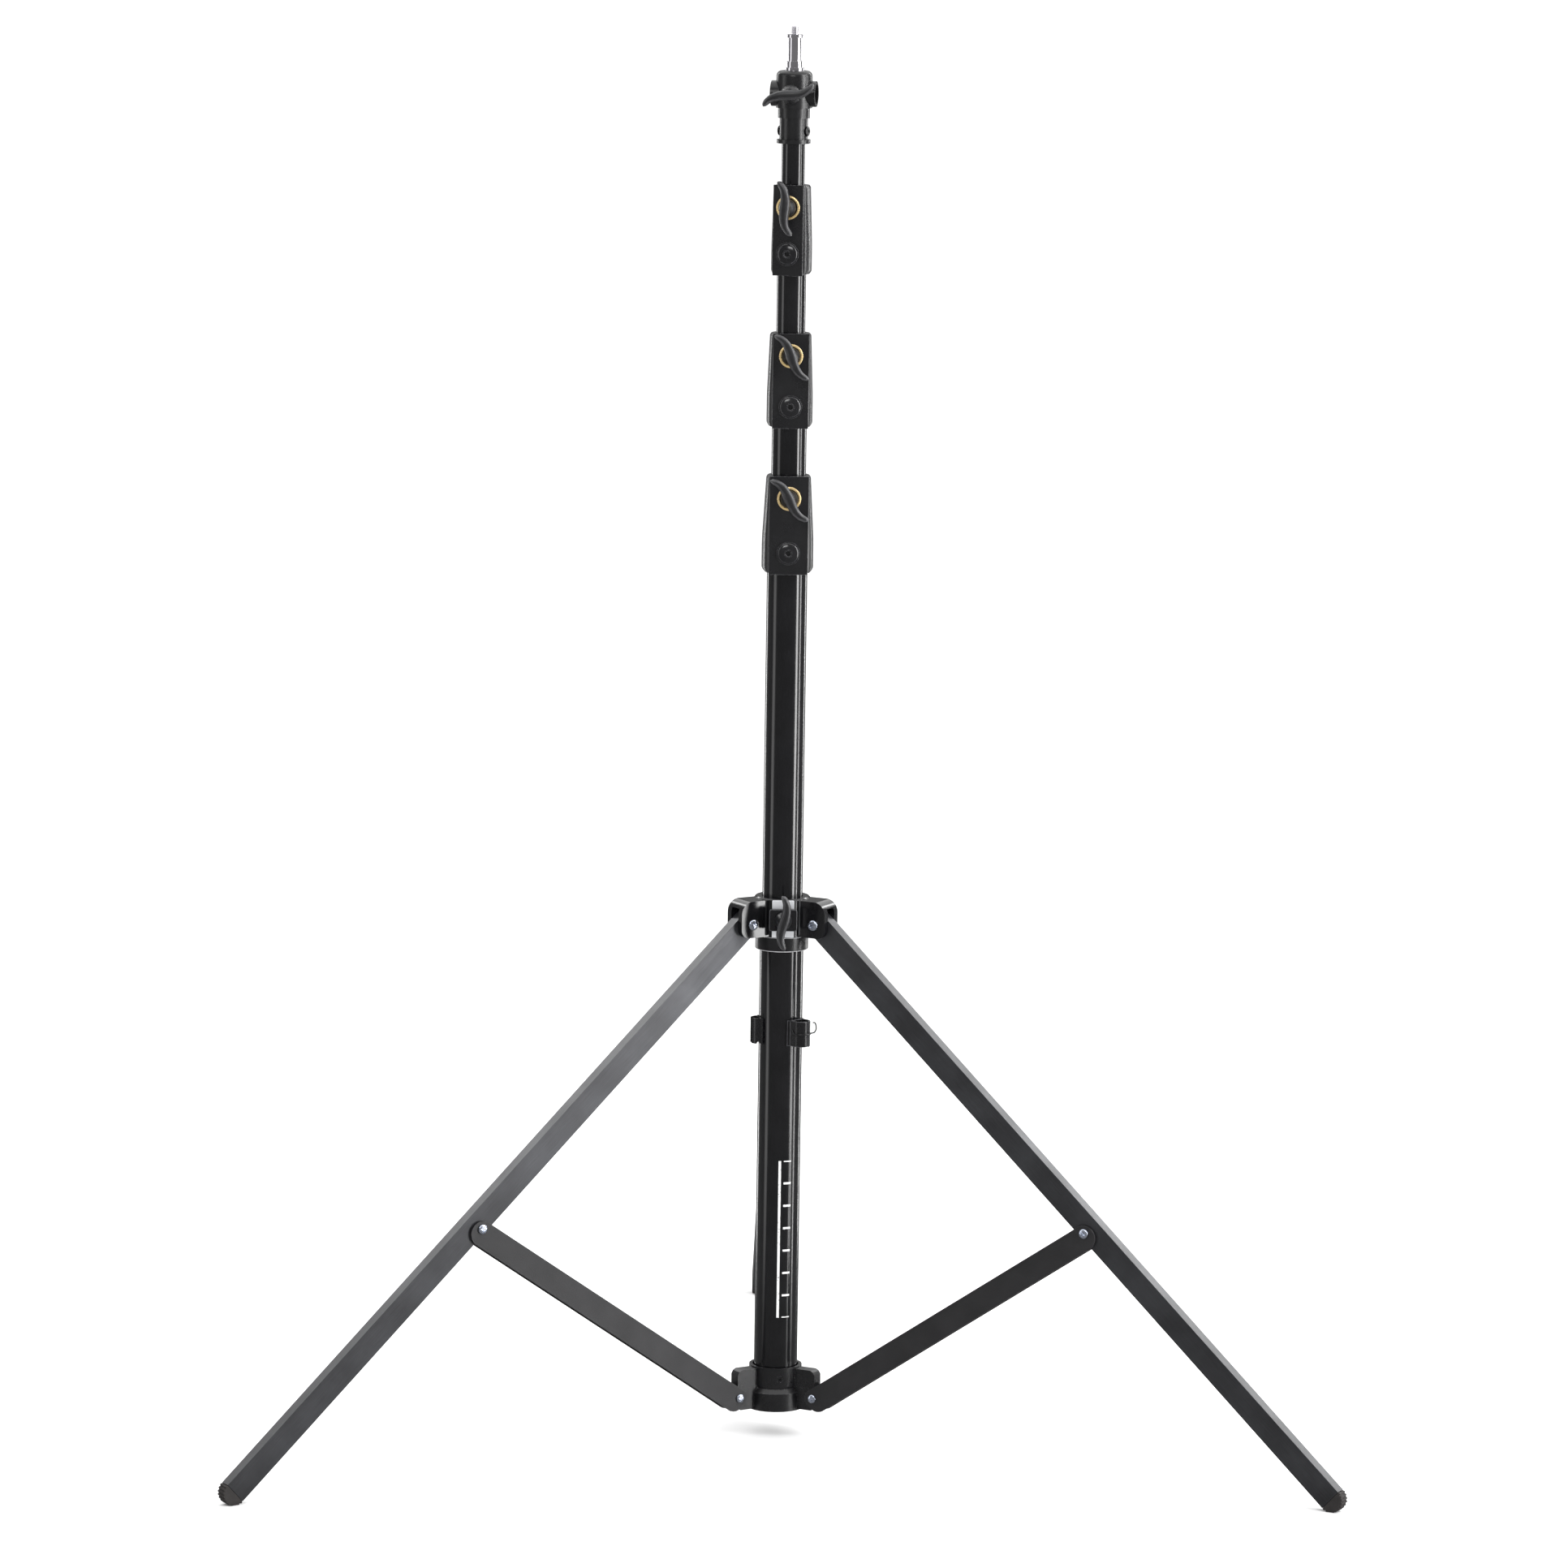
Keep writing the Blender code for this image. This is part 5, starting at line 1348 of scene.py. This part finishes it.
@dataclass
class LegSet:
    """One leg with its foot, brace and the two screws between them."""

    number: int
    azimuth: float
    slope: float = 48.2
    depth: float = 0.021
    width: float = 0.011
    wall: float = 0.0015
    hub_pivot: float = 0.037
    rise: float = 0.0119
    foot_flat: float = 0.0006
    tread: float = 0.0008
    ribs: int = 11
    collar_pivot: float = 0.041
    collar_height: float = 0.0345
    reach: float = 0.3584
    drop: float = 0.005
    brace_depth: float = 0.0215
    inset: float = 0.0075
    brace_wall: float = 0.002
    play: float = 0.0005
    end_back: float = 0.0023
    top_cut: float = 0.042
    foot_cut: float = 0.028
    pin_hole: float = 0.00305
    collar_hole: float = 0.00255
    rivet_hole: float = 0.00265
    plug_tall: float = 0.016

    def build(self, shop: Workshop) -> None:
        """Make the leg set in its open position.

        Args:
            shop: The workshop that makes the pieces.
        """
        hub_low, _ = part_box("hub_body")
        height = hub_low.z + self.rise
        plane = shop.column @ turn(self.azimuth, "Z")
        slope = math.radians(self.slope)
        ground = self.depth / 2 + self.tread / 2 - self.foot_flat
        length = (height - ground) / math.cos(slope)
        leg_at = plane @ shift(self.hub_pivot, 0, height) @ turn(-self.slope, "Y")
        self.build_leg(shop, leg_at, length)
        self.build_foot(shop, leg_at @ shift(0, 0, -length - GAP),
                        height / math.cos(slope) - length - GAP)
        top = Vector((self.hub_pivot + self.reach * math.sin(slope) - self.drop * math.cos(slope),
                      height - self.reach * math.cos(slope) - self.drop * math.sin(slope)))
        run, rise = top.x - self.collar_pivot, top.y - self.collar_height
        brace_at = (plane @ shift(self.collar_pivot, 0, self.collar_height)
                    @ turn(math.degrees(math.atan2(run, rise)), "Y"))
        self.build_brace(shop, brace_at, math.hypot(run, rise))

    def build_leg(self, shop: Workshop, at: Matrix, length: float) -> None:
        """A rectangular tube with a round hub end.

        Args:
            shop: The workshop that makes the pieces.
            at: Frame of its hub pivot, local Z along it.
            length: How far it runs below the pivot.
        """
        outer = box_outline(self.depth, self.width)
        inner = box_outline(self.depth - 2 * self.wall, self.width - 2 * self.wall)
        top = self.depth / 2
        rings = [[Vector((x, y, z)) for x, y in outline]
                 for outline, z in ((outer, top), (outer, -length), (inner, -length),
                                    (inner, top))]
        far = self.depth
        round_end = side_slab(arc((0, 0), self.depth / 2 - 0.0001, 0, 180, 36)
                              + [(-far, 0), (-far, far), (far, far), (far, 0)], self.width)
        shop.add(f"leg_{self.number}", LEG, skin(rings, capped=False), at,
                 [(Join.CUT, round_end), (Join.CUT, cross_rod(self.pin_hole, self.width))],
                 bevel=0.0008, segments=3)

    def build_foot(self, shop: Workshop, at: Matrix, ground: float) -> None:
        """A ribbed half-round rubber cap with its plug.

        Args:
            shop: The workshop that makes the pieces.
            at: Frame of the leg's end.
            ground: Distance to the floor along the leg.
        """
        base = self.depth / 2
        crest, root = base + self.tread / 2, base - self.tread / 2
        step = 180 / self.ribs
        outline: Outline = [(base, 0)]
        for rib in range(self.ribs):
            for share, radius in ((0.05, root), (0.16, root), (0.26, crest), (0.74, crest),
                                  (0.84, root), (0.95, root)):
                angle = math.radians(-step * (rib + share))
                outline.append((radius * math.cos(angle), radius * math.sin(angle)))
        outline.append((-base, 0))
        gap = 2 * (self.wall + GAP)
        plug = slab(box_outline(self.depth - gap, self.width - gap), -0.004, self.plug_tall)
        floor = moved(slab(box_outline(4 * self.depth, 4 * self.width), -self.depth, 0),
                      shift(0, 0, -ground) @ turn(self.slope, "Y"))
        shop.add(f"foot_{self.number}", RUBBER, side_slab(outline, self.width / 2), at,
                 [(Join.ADD, plug), (Join.CUT, floor)], bevel=0.0002, segments=2)

    def build_brace(self, shop: Workshop, at: Matrix, length: float) -> None:
        """A U-channel with rounded flange ends, and its screws at the leg.

        Args:
            shop: The workshop that makes the pieces.
            at: Frame of its collar pivot, local Z along it.
            length: Distance between its pivots.
        """
        half = self.width / 2 + self.play + self.brace_wall
        lip, web = self.brace_depth - self.inset, -self.inset
        middle = self.brace_depth / 2
        outline = arc((0, 0), self.inset, 180, 285, 16)
        outline += [(lip - 0.0045, -0.0048), (lip - 0.0024, -0.0030), (lip - 0.001, -0.0008),
                    (lip, 0.002)]
        outline += arc((web + middle, length - self.end_back), middle, 0, 180, 30)
        far = 2 * self.brace_depth
        inner, top, foot = web + self.brace_wall, length - self.top_cut, self.foot_cut
        channel = side_slab([(-far, -far), (far, -far), (far, length + far), (-far, length + far),
                             (-far, top), (inner, top), (inner, foot), (-far, foot)],
                            half - self.brace_wall)
        shop.add(f"brace_{self.number}", BRACE, side_slab(outline, half), at,
                 [(Join.CUT, channel), (Join.CUT, cross_rod(self.collar_hole, 2 * half)),
                  (Join.CUT, cross_rod(self.rivet_hole, 2 * half, 0, length))], bevel=0.0004)
        screw = PanScrew(half, 0.0025, 0.0042, 0.0018, single=True,
                         inner=self.width / 2 + self.play)
        for side, tilt in (("near", 90), ("far", -90)):
            screw.build(shop, f"brace_rivet_{self.number}_{side}",
                        at @ shift(0, 0, length) @ turn(tilt, "X"))


@dataclass
class Collar:
    """The lower collar that the braces are hinged on."""

    sleeve: float = 0.019
    wall: float = 0.0029
    rim_gap: float = 0.0012
    skirt: float = 0.0023
    foot: float = 0.0217
    floor: float = 0.0300
    floor_radius: float = 0.013
    steps: tuple = (0.0376, 0.0411, 0.044, 0.060)
    rim_depth: float = 0.008
    pivot: float = 0.041
    height: float = 0.0345
    nose: float = 0.0065
    tongue_half: float = 0.0052
    fin_half: float = 0.0056
    screw_azimuth: float = -82.0
    screw_height: float = 0.0505
    screw: float = 0.00265
    pin_hole: float = 0.00255
    pin_half: float = 0.008

    def tongue(self) -> bmesh.types.BMesh:
        """The block that a brace is hinged on.

        Returns:
            A closed mesh.
        """
        reach = self.pivot + self.nose
        low, high = self.foot + 0.0012, self.height + 0.010
        inner, root = self.sleeve + 0.0015, reach - 0.009
        return side_slab([(inner, low), (root, low)] + arc((self.pivot, self.height), self.nose,
                         -60, 60, 14) + [(root, high), (inner, high)], self.tongue_half)

    def fin(self) -> bmesh.types.BMesh:
        """The upright plate above the block.

        Returns:
            A closed mesh.
        """
        reach, inner = self.pivot + 0.0009, self.sleeve + self.rim_gap + 0.001
        low, high = self.height + 0.008, self.steps[3] - 0.0012
        return side_slab([(inner, low), (reach, low), (reach, high - 0.0045),
                          (reach - 0.0016, high - 0.0015), (reach - 0.0045, high),
                          (inner, high)], self.fin_half)

    def build(self, shop: Workshop) -> None:
        """Make the collar, its set screw and its hinge screws.

        Args:
            shop: The workshop that makes the pieces.
        """
        outer = self.sleeve + self.rim_gap + self.wall
        skirt, seat, rim = outer + self.skirt, self.sleeve + GAP, self.sleeve + self.rim_gap
        one, two, three, top = self.steps
        profile = [(self.floor_radius, self.foot), (skirt, self.foot), (skirt, one),
                   (outer - 0.001, two), (outer, three), (outer, top), (rim, top),
                   (rim, top - self.rim_depth), (seat, top - self.rim_depth),
                   (seat, self.floor), (self.floor_radius, self.floor)]
        drills = thrice(lambda: cross_rod(self.pin_hole, self.tongue_half + OVER, self.pivot,
                                          self.height))
        aim = shift(0, 0, self.screw_height) @ outward(self.screw_azimuth)
        tap = moved(rod(self.screw + 0.00015, self.sleeve * 0.6, outer + OVER), aim)
        shop.add("lower_collar", CASTING, lathe(profile, TURNED), shop.column,
                 [(Join.ADD, thrice(self.fin)), (Join.ADD, thrice(self.tongue)),
                  (Join.CUT, drills), (Join.CUT, tap)], bevel=0.0006, segments=3)
        tip, face = self.sleeve + GAP, outer - 0.0004
        grub = lathe([(0, tip), (self.screw, tip), (self.screw, face), (0, face)], MEDIUM)
        shop.add("collar_set_screw", BOLT_BLACK, grub, shop.column @ aim,
                 [(Join.CUT, rod(self.screw * 0.62, face - 0.0018, face + 0.001, 6))],
                 bevel=0.00015)
        for number, azimuth in enumerate(AZIMUTHS, start=1):
            place = (shop.column @ turn(azimuth, "Z") @ shift(self.pivot, 0, self.height)
                     @ turn(90, "X"))
            PanScrew(self.pin_half, 0.0024, 0.0038, 0.0017).build(
                shop, f"collar_pivot_{number}", place)


@dataclass
class Clip:
    """A cable clip on the sleeve: a half ring on a curved pad, with a sprung wire."""

    side: str
    azimuth: float
    reach: float
    mouth: float
    sleeve: float = 0.0193
    wall: float = 0.0016
    half: float = 0.0077
    pad: float = 0.0095
    spring: float = 0.0006

    def outline(self) -> Outline:
        """Plan of the clip, X outward.

        Returns:
            The outline.
        """
        skirt = self.sleeve + self.wall
        outside: Outline = []
        inside: Outline = []
        for path, wide, far in ((outside, self.half, self.sleeve + self.reach),
                                (inside, self.half - self.wall,
                                 self.sleeve + self.reach - self.wall)):
            root = math.sqrt(skirt ** 2 - wide ** 2)
            bend = max(root, far - wide)
            if bend > root:
                path.append((root, wide))
            for step in range(14):
                angle = math.radians(78 * step / 14)
                path.append((bend + (far - bend) * math.sin(angle),
                             max(wide * math.cos(angle), self.mouth / 2)))
            path.append((far, self.mouth / 2))
        upper = inside + outside[::-1]
        lower = [(x, -y) for x, y in reversed(upper)]
        tip = math.degrees(math.asin(self.pad / self.sleeve))
        back = arc((0, 0), self.sleeve, tip, -tip, 14)
        tips = arc((0, 0), skirt, tip, -tip, 1)
        return back + [tips[1]] + lower + upper + [tips[0]]

    def bail(self, middle: float) -> bmesh.types.BMesh:
        """The wire round the ring, with its loops.

        Args:
            middle: Height of the clip's middle.

        Returns:
            A closed mesh.
        """
        out = self.half + self.spring
        centre = self.sleeve + self.reach - self.half
        path = [Vector((self.sleeve + self.wall + 0.0008, -out, middle + 0.0036)),
                Vector((centre - 0.001, -out, middle))]
        for angle in range(-80, 60, 10):
            path.append(Vector((centre + out * math.cos(math.radians(angle)),
                                out * math.sin(math.radians(angle)), middle)))
        tail = path[-1]
        path += [tail + Vector((0.0022, 0.0020, 0.0008)), tail + Vector((0.0032, 0.0032, 0.0042)),
                 tail + Vector((0.0022, 0.0030, 0.0088)), tail + Vector((0.0004, 0.0018, 0.0092))]
        return wire(smooth_path(path, 3), self.spring)

    def build(self, shop: Workshop) -> None:
        """Make the clip and its wire.

        Args:
            shop: The workshop that makes the pieces.
        """
        node = f"cable_clip_{self.side}"
        low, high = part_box(node)
        at = shop.column @ turn(self.azimuth, "Z")
        steps = []
        middle = (low.z + high.z) / 2
        if self.side == "left":
            notch = slab([(-0.0016, 0), (0, -0.003), (0.0016, 0), (0, 0.003)], -0.02, 0.02)
            steps.append((Join.CUT, moved(notch, shift(self.sleeve + self.wall, 0, low.z)
                                          @ turn(90, "X"))))
        shop.add(node, CLIP_NYLON, slab(self.outline(), low.z, high.z), at, steps, bevel=0.0004)
        if self.side == "right":
            shop.add("clip_bail", BOLT_BLACK, self.bail(middle), at, bevel=0.0, body="base")
        else:
            top = [Vector((self.sleeve + 0.0010, 0.006, high.z - 0.001)),
                   Vector((self.sleeve + 0.0012, 0.006, high.z + 0.0008)),
                   Vector((self.sleeve + 0.0024, 0.006, high.z + 0.0030))]
            shop.add("clip_wire_end", BOLT_BLACK, wire(smooth_path(top, 3), self.spring), at,
                     bevel=0.0, body="base")


# --- Studio -----------------------------------------------------------------------------
@dataclass
class Studio:
    """A pale floor that stays out of reflections, soft lights and the camera."""

    distance: float = 5.9
    height: float = 1.484
    azimuth: float = 1.9
    pitch: float = 8.76
    yaw: float = 0.0
    roll: float = 0.85
    lens: float = 157.97
    floor: float = 90.0
    sky: float = 0.25
    sun: float = 3.3
    sun_spread: float = 110.0
    aim: float = 0.6

    def build(self, column: Matrix) -> None:
        """Light the stand and look at it.

        Args:
            column: Where the column stands.
        """
        self.build_floor()
        self.build_lights(column.translation)
        self.build_camera(column.translation)

    def build_floor(self) -> None:
        """A broad matte floor."""
        floor = bpy.data.objects.new("floor", bpy.data.meshes.new("floor"))
        mesh = bmesh.new()
        mesh.faces.new([mesh.verts.new((x * self.floor, y * self.floor, -0.0004))
                        for x, y in ((-1, -1), (1, -1), (1, 1), (-1, 1))])
        mesh.to_mesh(floor.data)
        mesh.free()
        graph = Graph("floor_matte")
        cloud = graph.noise(0.8, detail=3.0).ramp(0.3, 0.7)
        floor.data.materials.append(graph.surface({
            "Base Color": graph.blend(cloud, (0.90, 0.90, 0.90), (0.915, 0.915, 0.915)),
            "Roughness": 0.9, "Specular IOR Level": 0.1}))
        floor.visible_glossy = floor.visible_shadow = False
        bpy.context.scene.collection.objects.link(floor)

    def build_lights(self, middle: Vector) -> None:
        """A dim sky, an overhead light for the floor and tall soft boxes at the sides.

        Args:
            middle: The column's foot.
        """
        world = bpy.data.worlds.new("studio")
        world.use_nodes = True
        world.node_tree.nodes["Background"].inputs[0].default_value = (1, 1, 1, 1)
        world.node_tree.nodes["Background"].inputs[1].default_value = self.sky
        bpy.context.scene.world = world
        rows = (("left box", (-2.8, -0.9, 1.1), (0.9, 3.4), 18.0),
                ("right box", (2.35, -1.2, 1.1), (0.55, 3.4), 80.0),
                ("right strip", (2.7, -0.2, 1.1), (0.25, 3.4), 36.0),
                ("front", (-1.0, -4.2, 2.8), (1.6, 1.2), 45.0),
                ("back left", (-1.9, 2.4, 1.1), (0.5, 3.4), 30.0),
                ("back right", (2.2, 2.2, 1.1), (0.3, 3.4), 30.0))
        for name, place, size, power in rows:
            light = bpy.data.lights.new(name, "AREA")
            light.shape, light.size, light.size_y = "RECTANGLE", *size
            light.energy = power
            lamp = bpy.data.objects.new(name, light)
            lamp.location = Vector(place) + Vector((middle.x, middle.y, 0))
            aim = Vector((middle.x, middle.y, self.aim)) - lamp.location
            lamp.rotation_euler = aim.to_track_quat("-Z", "Y").to_euler()
            bpy.context.scene.collection.objects.link(lamp)
        light = bpy.data.lights.new("overhead", "SUN")
        light.energy, light.angle = self.sun, math.radians(self.sun_spread)
        lamp = bpy.data.objects.new("overhead", light)
        lamp.rotation_euler = (math.radians(-14), math.radians(8), 0)
        bpy.context.scene.collection.objects.link(lamp)

    def build_camera(self, middle: Vector) -> None:
        """Look at the stand from a long way off, a little from above.

        Args:
            middle: The column's foot.
        """
        data = bpy.data.cameras.new("view")
        data.lens, data.sensor_width = self.lens, 36.0
        data.clip_end = 400.0
        camera = bpy.data.objects.new("view", data)
        azimuth, heading = math.radians(self.azimuth), math.radians(self.azimuth + self.yaw)
        pitch, roll = math.radians(self.pitch), math.radians(self.roll)
        place = Vector((middle.x - self.distance * math.sin(azimuth),
                        middle.y - self.distance * math.cos(azimuth), self.height))
        ahead = Vector((math.sin(heading) * math.cos(pitch), math.cos(heading) * math.cos(pitch),
                        -math.sin(pitch)))
        level = ahead.cross(Vector((0, 0, 1))).normalized()
        over = level.cross(ahead)
        right = level * math.cos(roll) + over * math.sin(roll)
        up = over * math.cos(roll) - level * math.sin(roll)
        camera.matrix_world = Matrix.Translation(place) @ Matrix((right, up, -ahead)).transposed(
            ).to_4x4()
        bpy.context.scene.collection.objects.link(camera)
        bpy.context.scene.camera = camera
        bpy.context.scene.view_settings.view_transform = "Standard"


def main() -> None:
    """Build the whole stand and its studio."""
    logging.basicConfig(level=logging.INFO, format="%(message)s")
    shop = Workshop()
    Studio().build(shop.column)
    Column().build(shop)
    for clamp in (Clamp(1, 0.0, -51.0, 0.0175, 0.015, 0.0055),
                  Clamp(2, 0.0, -57.0, 0.015, 0.0125, 0.0044),
                  Clamp(3, -15.0, -80.0, 0.0125, 0.010, 0.0042)):
        clamp.build(shop)
    Head().build(shop)
    Spigot().build(shop)
    Hub().build(shop)
    for number, azimuth in enumerate(AZIMUTHS, start=1):
        LegSet(number, azimuth).build(shop)
    Collar().build(shop)
    Clip("right", -46.0, 0.0140, 0.0012).build(shop)
    Clip("left", 190.0, 0.0069, 0.005).build(shop)


if __name__ == "__main__":
    main()
